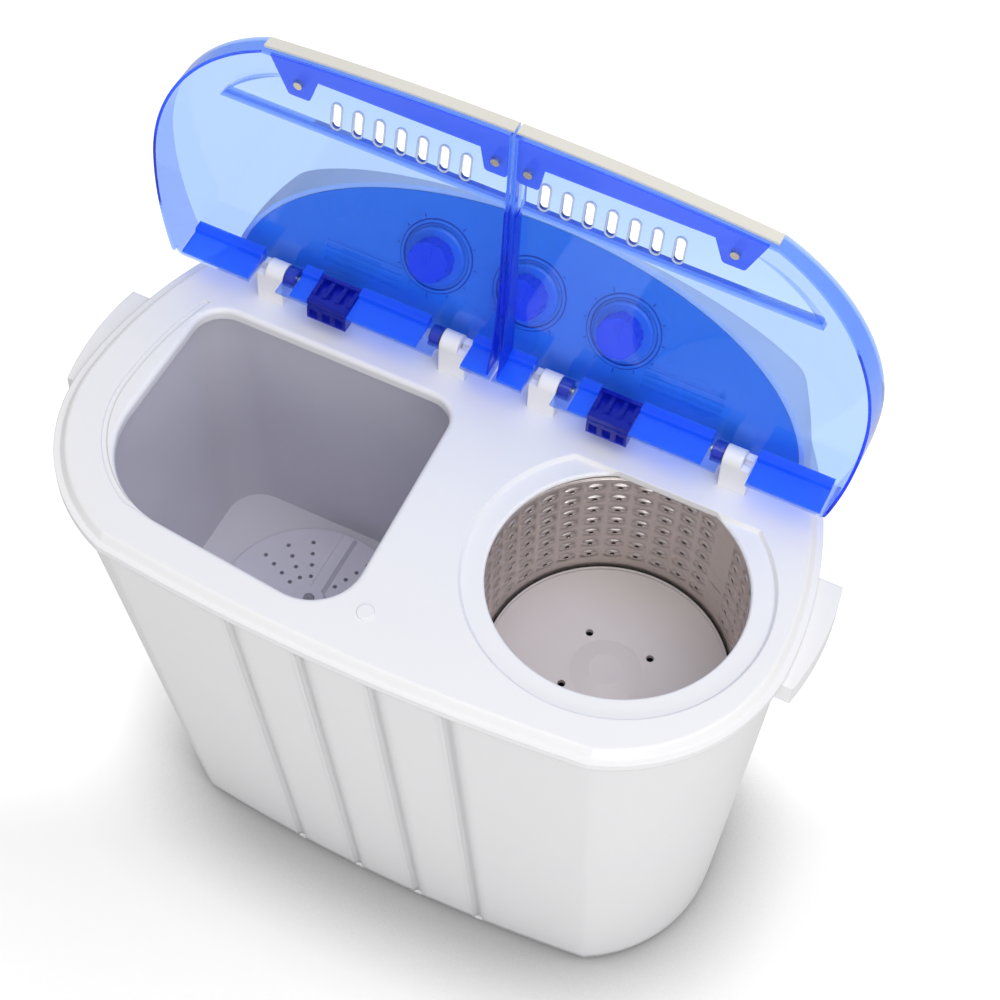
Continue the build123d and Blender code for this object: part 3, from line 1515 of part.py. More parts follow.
# Drain valve: upright valve body with two inlets, one outlet and an ear on the casing's back
with BuildPart() as drain_valve:
    with BuildSketch(Plane.XY.offset(valve_bottom)):
        with Locations((valve_x, valve_y)):
            Circle(valve_radius)
    extrude(amount=valve_top - valve_bottom)
    with BuildSketch(Plane.YZ.offset(valve_x)):
        with Locations((valve_y, port_z)):
            Circle(port_radius)
    extrude(amount=port_reach)
    with BuildSketch(Plane.XZ.offset(-valve_y)):
        with Locations((valve_x, port_z)):
            Circle(port_radius)
    extrude(amount=port_reach)
    with BuildSketch(Plane.XZ.offset(-valve_y)):
        with Locations((valve_x, (valve_top + valve_bottom) / 2)):
            Rectangle(valve_radius, (valve_top - valve_bottom) / 2)
    extrude(amount=valve_y - casing_back + casing_wall)
    with BuildSketch(Plane.XY.offset(valve_top)):
        with Locations((valve_x, valve_y)):
            Circle(pull_rod_radius + running_fit)
    extrude(amount=pull_rod_bottom - valve_top - pull_rod_radius, mode=Mode.SUBTRACT)
save(drain_valve.part, "drain_valve")

# Drain pull rod: rod from the drain switch down into the valve, with a crossbar at its top
with BuildPart() as pull_rod:
    with BuildSketch(Plane.XY.offset(pull_rod_bottom)):
        with Locations((valve_x, valve_y)):
            Circle(pull_rod_radius)
    extrude(amount=pull_rod_top - pull_rod_bottom)
    with BuildSketch(Plane.YZ.offset(valve_x)):
        with Locations((valve_y, pull_rod_top)):
            Circle(pull_rod_radius)
    extrude(amount=crossbar_reach, both=True)
save(pull_rod.part, "drain_pull_rod")


def pipe(points, bends, outer, inner):
    """Hollow pipe along straight runs joined by round bends."""
    with BuildLine() as path:
        FilletPolyline(*points, radius=bends)
    start = path.wire() ^ 0
    with BuildSketch(Plane(origin=start.position, z_dir=path.wire() % 0)) as section:
        Circle(outer)
        Circle(inner, mode=Mode.SUBTRACT)
    sweep(section.sketch, path=path.wire())


# Wash drain pipe: from the tub's drain stub to the valve's front inlet
with BuildPart() as wash_drain_pipe:
    pipe(
        [
            (tub_outlet_x, tub_outlet_y, tub_under - outlet_stub),
            (tub_outlet_x, tub_outlet_y, tub_under - outlet_stub - wash_pipe_drop),
            (valve_x, valve_y - port_reach - wash_pipe_entry, port_z),
            (valve_x, valve_y - port_reach, port_z),
        ],
        wash_pipe_bends, pipe_radius, pipe_radius - pipe_wall,
    )
save(wash_drain_pipe.part, "wash_drain_pipe")

# Spin drain pipe: from the drum's drain stub to the valve's side inlet
with BuildPart() as spin_drain_pipe:
    pipe(
        [
            (drum_outlet_x, drum_outlet_y, drum_under - outlet_stub),
            (drum_outlet_x, drum_outlet_y, drum_under - outlet_stub - spin_pipe_drop),
            (drum_outlet_x, valve_y, port_z + spin_pipe_lift),
            (valve_x + port_reach + spin_pipe_entry, valve_y, port_z),
            (valve_x + port_reach, valve_y, port_z),
        ],
        spin_pipe_bends, pipe_radius, pipe_radius - pipe_wall,
    )
save(spin_drain_pipe.part, "spin_drain_pipe")

# Drain outlet: elbow from the valve down and out through the casing's back
with BuildPart() as drain_outlet:
    pipe(
        [
            (valve_x, valve_y, valve_bottom),
            (valve_x, valve_y, outlet_z),
            (valve_x, rim_back, outlet_z),
        ],
        [outlet_bend], outlet_radius, outlet_radius - pipe_wall,
    )
save(drain_outlet.part, "drain_outlet")

# Dual capacitor: box that stands in the tray beside the wash motor
with BuildPart() as dual_capacitor:
    with BuildSketch(Plane.XY.offset(casing_bottom)):
        with Locations((capacitor_x, capacitor_y)):
            RectangleRounded(capacitor_width, capacitor_depth, capacitor_round)
    extrude(amount=capacitor_height)
    chamfer(dual_capacitor.edges().group_by(Axis.Z)[-1], length=capacitor_chamfer)
save(dual_capacitor.part, "dual_capacitor")
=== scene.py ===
# %% [markdown]
# # Twin tub washing machine
# A small washing machine with a wash tub on the left and a spin basket on the right.
# Its body is white moulded plastic, both lids are clear blue plastic that stand open, and a blue
# control panel with three knobs slopes behind them. The solid model already has the true shapes and
# sizes, so this lesson loads it first and then gives every surface the finish of the real thing.

# %% Load the solid model
import math
import bmesh
import bpy
from mathutils import Matrix, Vector


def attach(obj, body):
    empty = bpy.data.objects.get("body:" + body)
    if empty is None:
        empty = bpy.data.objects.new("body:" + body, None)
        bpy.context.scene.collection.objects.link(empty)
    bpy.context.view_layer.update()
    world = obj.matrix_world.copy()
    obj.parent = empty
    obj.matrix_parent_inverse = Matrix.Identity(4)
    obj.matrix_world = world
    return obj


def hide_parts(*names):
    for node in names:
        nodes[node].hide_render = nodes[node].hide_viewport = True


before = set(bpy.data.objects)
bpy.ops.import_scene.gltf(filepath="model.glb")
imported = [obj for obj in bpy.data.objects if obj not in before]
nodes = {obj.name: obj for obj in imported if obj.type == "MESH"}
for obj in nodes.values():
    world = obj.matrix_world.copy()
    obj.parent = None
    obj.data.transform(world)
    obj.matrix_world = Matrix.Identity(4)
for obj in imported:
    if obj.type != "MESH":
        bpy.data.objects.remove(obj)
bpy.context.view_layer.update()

# %% [markdown]
# The machine's sizes are written in millimetres, as they would be on a drawing, and turned to metres
# by one constant; only the studio round it is given in metres. Colours are written as the hex codes
# that a colour picker shows, and one function turns them into the linear values that Blender
# calculates with.

# %% Units, colours and one node helper
MM = 0.001

# The control panel leans back; the line along its foot and its lean fix the plane of its face
panel_lean = math.radians(29)
panel_foot_y, panel_foot_z = 111.6, 504.5


def linear(hex_code):
    """Turn an sRGB hex colour into linear red, green, blue and a full alpha."""
    shown = [int(hex_code[i:i + 2], 16) / 255 for i in (1, 3, 5)]
    steps = [v / 12.92 if v <= 0.04045 else ((v + 0.055) / 1.055) ** 2.4 for v in shown]
    return [*steps, 1.0]


def add_node(tree, kind, settings=None, values=None, links=None):
    """Add one shader node with its settings, socket values and incoming links.

    A socket is called by its name, or by its number where a node has several of one name.
    """
    node = tree.nodes.new(kind)
    for name, value in (settings or {}).items():
        setattr(node, name, value)
    for name, value in (values or {}).items():
        node.inputs[name].default_value = value
    for name, source in (links or {}).items():
        tree.links.new(source, node.inputs[name])
    return node


def start_material(name):
    """Make an empty node material and return it with its tree."""
    material = bpy.data.materials.new(name)
    material.use_nodes = True
    material.node_tree.nodes.clear()
    return material, material.node_tree


# %% [markdown]
# ## White moulded polypropylene
# The casing, the deck and the hood are injection moulded polypropylene. It is slightly bluish
# white, it shines softly, and a flat wall of it is never perfectly flat: the skin has a faint
# orange peel a few millimetres wide and slow waves where the wall cooled over its ribs. Noise at
# those real widths drives the bump, and a wider noise makes the gloss a little uneven, as handled
# plastic is. The same recipe serves the other moulded colours, so it is a function.

# %% Moulded plastic finishes
peel_depth = 0.02
sink_mm = 70.0


def moulded(name, colour, roughness, deep, peel_mm=3.0, edge_mm=0.0):
    """Moulded plastic: one colour with a faint drift, orange peel, slow waves and soft edges."""
    material, tree = start_material(name)
    place = add_node(tree, "ShaderNodeTexCoord").outputs["Object"]
    peel = add_node(
        tree, "ShaderNodeTexNoise",
        values={"Scale": 1 / (peel_mm * MM), "Detail": 2.0, "Roughness": 0.5}, links={"Vector": place},
    )
    sink = add_node(
        tree, "ShaderNodeTexNoise",
        values={"Scale": 1 / (sink_mm * MM), "Detail": 1.0}, links={"Vector": place},
    )
    tint = add_node(
        tree, "ShaderNodeMix", settings={"data_type": "RGBA"},
        values={"A": linear(colour), "B": linear(deep)}, links={"Factor": sink.outputs["Fac"]},
    )
    gloss = add_node(
        tree, "ShaderNodeMapRange",
        values={
            "From Min": 0.0, "From Max": 1.0,
            "To Min": roughness * 0.8, "To Max": roughness * 1.25,
        },
        links={"Value": sink.outputs["Fac"]},
    )
    height = add_node(
        tree, "ShaderNodeBump", values={"Strength": 0.35, "Distance": peel_depth * MM},
        links={"Height": peel.outputs["Fac"]},
    )
    if edge_mm:
        edge = add_node(
            tree, "ShaderNodeBevel", settings={"samples": 8}, values={"Radius": edge_mm * MM}
        )
        tree.links.new(edge.outputs["Normal"], height.inputs["Normal"])
    skin = add_node(
        tree, "ShaderNodeBsdfPrincipled",
        values={"IOR": 1.49, "Metallic": 0.0},
        links={
            "Base Color": tint.outputs["Result"], "Roughness": gloss.outputs["Result"],
            "Normal": height.outputs["Normal"],
        },
    )
    add_node(tree, "ShaderNodeOutputMaterial", links={"Surface": skin.outputs["BSDF"]})
    return material


white_polypropylene = moulded(
    "White moulded polypropylene", "#EFEEEF", 0.34, "#ECEBED", edge_mm=10.0
)
soft_white_polypropylene = moulded(
    "White polypropylene with rounded edges", "#EFEEEF", 0.30, "#ECEBED", edge_mm=1.5
)
grey_polypropylene = moulded("Grey satin polypropylene", "#DDDBE4", 0.42, "#D5D3DD")
lavender_polypropylene = moulded("Pale lavender polypropylene", "#DCDAE6", 0.36, "#D4D2DF")
pale_polypropylene = moulded("Pale basket floor polypropylene", "#E2DADA", 0.38, "#D8D0D0")
blue_panel_plastic = moulded("Blue moulded panel plastic", "#4C96DF", 0.28, "#458EDA")
blue_knob_plastic = moulded("Deep blue knob plastic", "#1A50E8", 0.24, "#174AE0")
rim_plastic = moulded("Pale blue rim plastic", "#C9D6EE", 0.3, "#BFCDE8")
# Its dark rings round the knobs are painted shade at the edges of the raised dial rings; its strokes are
# real marks
marking_and_ring_shade_plastic = moulded("Dark blue marking and ring shade plastic", "#1C3FA8", 0.35, "#1A3A9C")
dark_nylon = moulded("Dark moulded nylon", "#2A2C33", 0.45, "#24262C")
natural_nylon = moulded("Natural nylon", "#D9D8D0", 0.4, "#D2D1C8")
grey_pipe_plastic = moulded("Grey flexible drain pipe", "#8E9299", 0.5, "#858990")
cream_strip_plastic = moulded("Warm white trim plastic", "#E0DED6", 0.34, "#D8D6CD")

# A knob is moulded in two shots: its flat skirt in a blue near the panel's, its grip in deep blue.
# The height above the panel's face tells one from the other.
skirt_top, grip_foot = 5.4, 5.9
tree = blue_knob_plastic.node_tree
knob_skin = next(node for node in tree.nodes if node.bl_idname == "ShaderNodeBsdfPrincipled")
place = add_node(tree, "ShaderNodeTexCoord").outputs["Object"]
panel_normal = Vector((0, -math.cos(panel_lean), math.sin(panel_lean)))
panel_level = panel_normal.dot(Vector((0, panel_foot_y, panel_foot_z)))
lift = add_node(
    tree, "ShaderNodeVectorMath", settings={"operation": "DOT_PRODUCT"},
    values={1: panel_normal}, links={0: place},
)
above = add_node(
    tree, "ShaderNodeMapRange",
    values={
        "From Min": (panel_level + skirt_top) * MM, "From Max": (panel_level + grip_foot) * MM,
    },
    links={"Value": lift.outputs["Value"]},
)
two_shots = add_node(
    tree, "ShaderNodeMix", settings={"data_type": "RGBA"}, values={"A": linear("#3F86DE")},
    links={
        "Factor": above.outputs["Result"],
        "B": knob_skin.inputs["Base Color"].links[0].from_socket,
    },
)
tree.links.new(two_shots.outputs["Result"], knob_skin.inputs["Base Color"])
print("moulded finishes:", len(bpy.data.materials))

# %% [markdown]
# ## Clear blue lids
# The lids are clear plastic coloured right through. A thin wall passes most of the light and looks
# sky blue, and an edge, where the eye looks along the wall, turns deep blue. That is absorption in
# the depth of the material, so most of the colour comes from a volume inside the shell, and the
# skin is tinted only a little. A share of milky plastic, larger on standing walls than on the flat,
# gives ribs and rails the body they have. The light is bent less than real plastic bends it,
# because thick edges would turn black where it can't get out, and a clear coat with the true IOR
# gives back the shine. A path tracer has a hard time finding lamps through such plastic, so for
# rays that run to the lamps the surface is plainly see-through.

# %% Clear and cloudy blue plastic
def clear_blue(name, surface, passing_share, density, cloud, wall_cloud, cloud_colour):
    """Clear plastic coloured at its skin and in its depth, open to the lamps, and clouded as asked.

    The share of red, green and blue that the depth lets pass is given as linear values. Walls that
    stand on the lid's flat are clouded more than the flat itself.
    """
    material, tree = start_material(name)
    place = add_node(tree, "ShaderNodeTexCoord").outputs["Object"]
    flow = add_node(
        tree, "ShaderNodeTexNoise",
        values={"Scale": 1 / (45 * MM), "Detail": 1.0}, links={"Vector": place},
    )
    ripple = add_node(
        tree, "ShaderNodeBump", values={"Strength": 0.15, "Distance": 0.3 * MM},
        links={"Height": flow.outputs["Fac"]},
    )
    clear = add_node(
        tree, "ShaderNodeBsdfPrincipled",
        values={
            "Base Color": linear(surface), "Roughness": 0.05, "IOR": 1.12,
            "Transmission Weight": 1.0, "Coat Weight": 0.6, "Coat IOR": 1.49,
            "Coat Roughness": 0.04,
        },
        links={"Normal": ripple.outputs["Normal"]},
    )
    milky = add_node(
        tree, "ShaderNodeBsdfPrincipled",
        values={
            "Base Color": linear(cloud_colour), "Roughness": 0.2, "IOR": 1.49,
        },
        links={"Normal": ripple.outputs["Normal"]},
    )
    facing = add_node(tree, "ShaderNodeTexCoord").outputs["Normal"]
    split = add_node(tree, "ShaderNodeSeparateXYZ", links={"Vector": facing})
    flatness = add_node(
        tree, "ShaderNodeMath", settings={"operation": "ABSOLUTE"}, links={0: split.outputs["Y"]},
    )
    amount = add_node(
        tree, "ShaderNodeMapRange",
        values={"From Min": 0.2, "From Max": 0.9, "To Min": wall_cloud, "To Max": cloud},
        links={"Value": flatness.outputs["Value"]},
    )
    clouded = add_node(
        tree, "ShaderNodeMixShader",
        links={"Fac": amount.outputs["Result"], 1: clear.outputs["BSDF"], 2: milky.outputs["BSDF"]},
    )
    open_to_lamps = add_node(
        tree, "ShaderNodeBsdfTransparent", values={"Color": linear("#FAFCFF")}
    )
    ray = add_node(tree, "ShaderNodeLightPath")
    surface_mix = add_node(
        tree, "ShaderNodeMixShader",
        links={
            "Fac": ray.outputs["Is Shadow Ray"], 1: clouded.outputs["Shader"],
            2: open_to_lamps.outputs["BSDF"],
        },
    )
    depth = add_node(
        tree, "ShaderNodeVolumeAbsorption",
        values={"Color": (*passing_share, 1.0), "Density": density},
    )
    add_node(
        tree, "ShaderNodeOutputMaterial",
        links={"Surface": surface_mix.outputs["Shader"], "Volume": depth.outputs["Volume"]},
    )
    return material


blue_lid_plastic = clear_blue(
    "Clear blue lid plastic", "#CCDFF6", (0.02, 0.40, 1.0), 110.0, 0.02, 0.2, "#4C7CF2"
)
rail_plastic = clear_blue(
    "Cloudy azure rail plastic", "#BFDDFF", (0.02, 0.42, 1.0), 350.0, 0.5, 0.45, "#2478FA"
)
liner_plastic = clear_blue(
    "Cloudy royal blue liner plastic", "#A0C0FF", (0.0, 0.12, 1.0), 800.0, 0.55, 0.55, "#1248E4"
)
grip_plastic = clear_blue(
    "Cloudy blue grip plastic", "#C0D4FF", (0.05, 0.25, 1.0), 400.0, 0.55, 0.55, "#4C78F8"
)
finger_plastic = clear_blue(
    "Navy blue finger plastic", "#8090F0", (0.0, 0.02, 0.6), 600.0, 0.5, 0.5, "#0E22C8"
)
print("clear finishes made")

# %% [markdown]
# ## Metals, rubber and enamel
# The basket is thin stainless sheet, rolled and welded into a ring, so its grain runs round it.
# Shafts and pins are turned steel, the lid's small screws are pale zinc plated, the motors are
# enamelled sheet steel and the pulley is die cast aluminium. Metals keep the default IOR, and their
# colour is the colour of their reflection. The sheet's grain is coarser than real brushing, which
# would be finer than one pixel of the picture.

# %% Metals
def metal(name, colour, roughness, grain_mm, stretch, grain_depth=0.01, bareness=1.0):
    """Bare metal with a grain: noise squeezed along one direction drives gloss and bump."""
    material, tree = start_material(name)
    place = add_node(tree, "ShaderNodeTexCoord").outputs["Object"]
    squeeze = add_node(
        tree, "ShaderNodeMapping", values={"Scale": stretch}, links={"Vector": place}
    )
    grain = add_node(
        tree, "ShaderNodeTexNoise",
        values={"Scale": 1 / (grain_mm * MM), "Detail": 4.0, "Roughness": 0.6},
        links={"Vector": squeeze.outputs["Vector"]},
    )
    gloss = add_node(
        tree, "ShaderNodeMapRange",
        values={
            "From Min": 0.3, "From Max": 0.7,
            "To Min": roughness * 0.75, "To Max": roughness * 1.3,
        },
        links={"Value": grain.outputs["Fac"]},
    )
    scratch = add_node(
        tree, "ShaderNodeBump", values={"Strength": 0.3, "Distance": grain_depth * MM},
        links={"Height": grain.outputs["Fac"]},
    )
    bare = add_node(
        tree, "ShaderNodeBsdfPrincipled",
        values={"Base Color": linear(colour), "Metallic": bareness},
        links={"Roughness": gloss.outputs["Result"], "Normal": scratch.outputs["Normal"]},
    )
    add_node(tree, "ShaderNodeOutputMaterial", links={"Surface": bare.outputs["BSDF"]})
    return material


stainless_sheet = metal(
    "Brushed stainless basket sheet", "#D2C9C5", 0.36, 6.0, (1, 1, 14), bareness=0.92
)
turned_steel = metal("Turned steel", "#B5B7BA", 0.25, 2.0, (1, 1, 6))
pale_zinc = metal("Pale zinc plated steel", "#E9DFC6", 0.24, 1.5, (1, 1, 1))
cast_aluminium = metal("Die cast aluminium", "#C9CBCE", 0.42, 1.2, (1, 1, 1), 0.03)
motor_enamel = moulded("Grey enamelled motor steel", "#4B5058", 0.33, "#454A52", peel_mm=1.5)
black_rubber = moulded("Black moulded rubber", "#1B1B1D", 0.62, "#232325", peel_mm=0.8)
print("all finishes:", [m.name for m in bpy.data.materials])

# %% [markdown]
# ## Dress the nodes
# Each node of the model gets the finish of its real piece. A table that lists the nodes of each
# finish is easier to check against the object than sixty single assignments.

# %% Give every node its finish
finishes = {
    white_polypropylene: ["casing"],
    soft_white_polypropylene: [
        "deck", "side_handle_left", "side_handle_right", "panel_housing", "base_tray", "rear_cover",
        "deck_plug",
    ],
    cream_strip_plastic: ["wash_lid_grip_strip", "spin_lid_grip_strip"],
    blue_lid_plastic: ["wash_lid", "spin_lid"],
    grip_plastic: ["wash_lid_grip_plate", "spin_lid_grip_plate"],
    finger_plastic: ["wash_lid_finger", "spin_lid_finger"],
    blue_panel_plastic: ["control_panel"],
    blue_knob_plastic: ["wash_timer_knob", "drain_knob", "spin_timer_knob"],
    grey_polypropylene: ["wash_tub", "spin_drum"],
    lavender_polypropylene: ["pulsator"],
    pale_polypropylene: ["basket_base"],
    stainless_sheet: ["spin_basket"],
    dark_nylon: [
        "wash_timer", "drain_switch", "spin_timer", "brake_lever", "dual_capacitor", "wash_pulley",
    ],
    turned_steel: [
        "hinge_pins", "pulsator_screw", "pulsator_shaft", "spin_shaft", "brake_drum", "brake_bracket",
        "rear_cover_screws",
    ],
    natural_nylon: ["drain_pull_rod"],
    pale_zinc: ["wash_lid_screws", "spin_lid_screws"],
    black_rubber: [
        "foot_front_left", "foot_front_right", "foot_rear_left", "foot_rear_right",
        "wash_shaft_seal", "spin_shaft_seal", "drive_belt", "spin_motor_mounts", "cord_gland",
    ],
    motor_enamel: ["wash_motor", "spin_motor", "wash_motor_bracket"],
    cast_aluminium: ["motor_pulley", "wash_bearing"],
    grey_pipe_plastic: ["drain_valve", "wash_drain_pipe", "spin_drain_pipe", "drain_outlet"],
}
dressed = 0
for material, names in finishes.items():
    for name in names:
        mesh = nodes[name].data
        mesh.materials.clear()
        mesh.materials.append(material)
        dressed += 1
print("dressed nodes:", dressed)

# %% [markdown]
# ## Helpers for new pieces
# The pieces below are built point by point, in millimetres. One helper turns points and faces into
# an object, gives it its finish, and says which body of the model carries it, so that a rail inside
# a lid turns with that lid. Another sweeps an outline along a straight line, which is how a moulded
# rail or bar is made, a third builds a block whose top has steps, and a fourth turns a half section
# about an axis.

# %% Helpers that make pieces
def make_piece(name, points, faces, finish, body, smooth=False):
    """Make one mesh object from points in millimetres and let it ride on a body."""
    mesh = bpy.data.meshes.new(name)
    mesh.from_pydata([[v * MM for v in point] for point in points], [], faces)
    shape = bmesh.new()
    shape.from_mesh(mesh)
    bmesh.ops.remove_doubles(shape, verts=shape.verts, dist=0.01 * MM)
    bmesh.ops.recalc_face_normals(shape, faces=shape.faces)
    shape.to_mesh(mesh)
    shape.free()
    mesh.polygons.foreach_set("use_smooth", [smooth] * len(mesh.polygons))
    mesh.materials.append(finish)
    piece = bpy.data.objects.new(name, mesh)
    bpy.context.collection.objects.link(piece)
    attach(piece, body)
    return piece


def swept(outline, start, end, points, faces):
    """Add a closed outline of (y, z), swept along X from start to end."""
    first = len(points)
    count = len(outline)
    points.extend([(x, y, z) for x in (start, end) for y, z in outline])
    faces.append(list(range(first, first + count)))
    faces.append(list(range(first + count, first + 2 * count)))
    for i in range(count):
        j = (i + 1) % count
        faces.append([first + i, first + j, first + count + j, first + count + i])


def terraced(steps_x, steps_y, tops, bottom, points, faces):
    """Add a closed block whose top lies at its own height in each cell of a grid."""
    for row, (near, far) in enumerate(zip(steps_y, steps_y[1:])):
        for column, (left, right) in enumerate(zip(steps_x, steps_x[1:])):
            top = tops[row][column]
            sides = [
                ((left, near), (right, near), row - 1, column),
                ((right, near), (right, far), row, column + 1),
                ((right, far), (left, far), row + 1, column),
                ((left, far), (left, near), row, column - 1),
            ]
            for level in (top, bottom):
                first = len(points)
                corners = [(left, near), (right, near), (right, far), (left, far)]
                points.extend([(*corner, level) for corner in corners])
                faces.append([first, first + 1, first + 2, first + 3])
            for start, end, beside_row, beside_column in sides:
                inside = 0 <= beside_row < len(tops) and 0 <= beside_column < len(tops[0])
                foot = tops[beside_row][beside_column] if inside else bottom
                if foot < top:
                    first = len(points)
                    points.extend([(*start, foot), (*end, foot), (*end, top), (*start, top)])
                    faces.append([first, first + 1, first + 2, first + 3])


def turned(profile, steps, points, faces, place):
    """Add a closed half section of (radius, height), turned about the Z axis of a place."""
    first = len(points)
    count = len(profile)
    for step in range(steps):
        angle = 2 * math.pi * step / steps
        for radius, height in profile:
            at = place @ Vector((radius * math.cos(angle), radius * math.sin(angle), height))
            points.append(tuple(at))
    for step in range(steps):
        here = first + step * count
        after = first + (step + 1) % steps * count
        for i in range(count):
            j = (i + 1) % count
            faces.append([here + i, after + i, after + j, here + j])


print("helpers ready")

# %% [markdown]
# ## Hinge rails
# Where the lid is hinged its rear wall is doubled by a stepped rail, so the plastic is thick there
# and reads as a bright azure band instead of a pale film. The rail is cut away at every deck lug and
# at the knuckles. Beside the gap between the lids each lid also has a liner along its inner wall,
# which gives the royal blue stripe between the two lids.

# %% Hinge rails, liners, finger faces and knuckle cores
shelf_z = 527.4
lid_face_y = 106.2
shelf_front_y = 78.2
rail_steps = [
    (lid_face_y, shelf_z), (shelf_front_y + 0.3, shelf_z), (shelf_front_y, 528.6),
    (shelf_front_y + 0.6, 529.4), (98.0, 530.6), (98.6, 533.6), (99.4, 534.2), (lid_face_y, 534.8),
]
rail_spans = {
    "wash_lid": [(4.6, 24.6), (61.4, 118.4), (151.6, 165.6), (200.6, 257.0)],
    "spin_lid": [(4.6, 24.6), (61.4, 76.4), (109.6, 165.6), (200.6, 257.0)],
}
finger_middles = {"wash_lid": -135.0, "spin_lid": 93.0}
finger_steps_x = [-16, -13, -6.8, -3.6, 3.6, 6.8, 13, 16]
finger_steps_y = [shelf_front_y, 85.0, 101.0, 104.5]
# Heights of the finger's face, row by row from its front: the middle row has three deep notches
finger_tops = [[532.2] * 7, [533.0, 528.8, 533.0, 528.8, 533.0, 528.8, 533.0], [533.8] * 7]
knuckle_starts = (48.2, 168.9)
start_to_middle = 4.0
hinge_y, hinge_z = 97.0, 525.0
core_bore, core_radius, core_half_width, core_steps = 3.1, 8.1, 3.8, 32
liner_near, liner_far = 3.45, 4.5
liner_outline = [
    (lid_face_y, shelf_z), (80.2, shelf_z), (88.0, 556.0), (93.4, 600.0), (96.2, 686.0),
    (lid_face_y, 686.0),
]
core_section = [
    (core_bore, -core_half_width), (core_radius, -core_half_width),
    (core_radius, core_half_width), (core_bore, core_half_width),
]
for lid_name, side in (("wash_lid", -1), ("spin_lid", 1)):
    points, faces = [], []
    for near, far in rail_spans[lid_name]:
        swept(rail_steps, side * near, side * far, points, faces)
    make_piece(lid_name + "_hinge_rail", points, faces, rail_plastic, lid_name)
    points, faces = [], []
    swept(liner_outline, side * liner_near, side * liner_far, points, faces)
    make_piece(lid_name + "_liner", points, faces, liner_plastic, lid_name)
    points, faces = [], []
    steps_x = [finger_middles[lid_name] + step for step in finger_steps_x]
    terraced(steps_x, finger_steps_y, finger_tops, shelf_z, points, faces)
    make_piece(lid_name + "_finger_face", points, faces, finger_plastic, lid_name)
    points, faces = [], []
    for start in knuckle_starts:
        spot = Matrix.Translation((side * (start + start_to_middle), hinge_y, hinge_z))
        turned(core_section, core_steps, points, faces, spot @ Matrix.Rotation(math.pi / 2, 4, "Y"))
    make_piece(lid_name + "_knuckle_cores", points, faces, finger_plastic, lid_name)
    print(lid_name, "rail, liner, finger face and knuckle cores made")

# %% [markdown]
# ## Rims of the vent slots
# Each lid has a row of seven slots that let steam out, and every slot has a fine raised rim on the
# inside. A rim is drawn as a ring whose outline is two half circles joined by straight sides. It
# lies on the sloping floor of the scoop, so the ring leans as the floor does.

# %% Slot rims
slot_pitch, slot_half_width, slot_half_length = 16.4, 3.25, 10.0
slot_count = 7
slot_rows = {"wash_lid": -86.0, "spin_lid": 71.0}
lid_edge_z, slot_reach = 764.0, 54.5
slot_z = lid_edge_z - slot_reach
scoop_floor_y, scoop_floor_lean = 102.6, 7.0 / 38.0
loop_points = 24
rim_sunk, rim_proud = -0.2, 0.8
rim_inner, rim_outer = 0.15, 1.2


def rim_loop(x, widen, out):
    """Points of a slot's outline, widened, at a height above the scoop's floor."""
    loop = []
    straight = slot_half_length - slot_half_width
    radius = slot_half_width + widen
    for k in range(loop_points):
        turn = 2 * math.pi * (k + 0.5) / loop_points
        up = math.copysign(straight, math.sin(turn)) + radius * math.sin(turn)
        across = radius * math.cos(turn)
        loop.append((x + across, scoop_floor_y + up * scoop_floor_lean - out, slot_z + up))
    return loop


for lid_name, row_x in slot_rows.items():
    points, faces = [], []
    for slot in range(slot_count):
        x = row_x + (slot - (slot_count - 1) / 2) * slot_pitch
        first = len(points)
        section = [
            (rim_inner, rim_sunk), (rim_inner, rim_proud), (rim_outer, rim_proud), (rim_outer, rim_sunk),
        ]
        for widen, out in section:
            points.extend(rim_loop(x, widen, out))
        for ring in range(4):
            here, after = first + ring * loop_points, first + (ring + 1) % 4 * loop_points
            for k in range(loop_points):
                j = (k + 1) % loop_points
                faces.append([here + k, here + j, after + j, after + k])
    make_piece(lid_name + "_slot_rims", points, faces, rim_plastic, lid_name, smooth=True)
print("slot rims made")

# %% [markdown]
# ## Basket sheet
# The basket is a stainless sheet pierced in rows, and every hole sits in a lens shaped dimple that
# is pressed inwards, so that washing is held off the wall and water finds the hole. Each cell of the
# sheet is drawn as rings of points that pass from the round hole through the oval dimple to the
# cell's rectangle; neighbouring cells share their edges, so they weld into one sheet. One column
# stays plain, where the sheet's ends are welded. The sheet then gets its thickness.

# %% Basket sheet with pierced dimples
basket_x, basket_y = 148.7, -19.2
sheet_foot_z, sheet_top_z = 371.0, 488.0
sheet_foot_radius, sheet_taper = 93.3, 1.7
middle_radius = 94.5
cell_points = 16
sheet_thickness = 0.9
hole_columns = 33
hole_rows = 7
row_low, row_pitch = 394.0, 14.0
hole_radius = 1.7
dimple_across, dimple_high, dimple_depth = 7.8, 3.5, 1.7
seam_angle = math.radians(58)
column_step = 2 * math.pi / hole_columns


def wall_point(angle, z, inward=0.0):
    """A point of the basket's tapered wall, raised towards its axis."""
    share = (z - sheet_foot_z) / (sheet_top_z - sheet_foot_z)
    radius = sheet_foot_radius + share * sheet_taper - inward
    return (basket_x + radius * math.cos(angle), basket_y + radius * math.sin(angle), z)


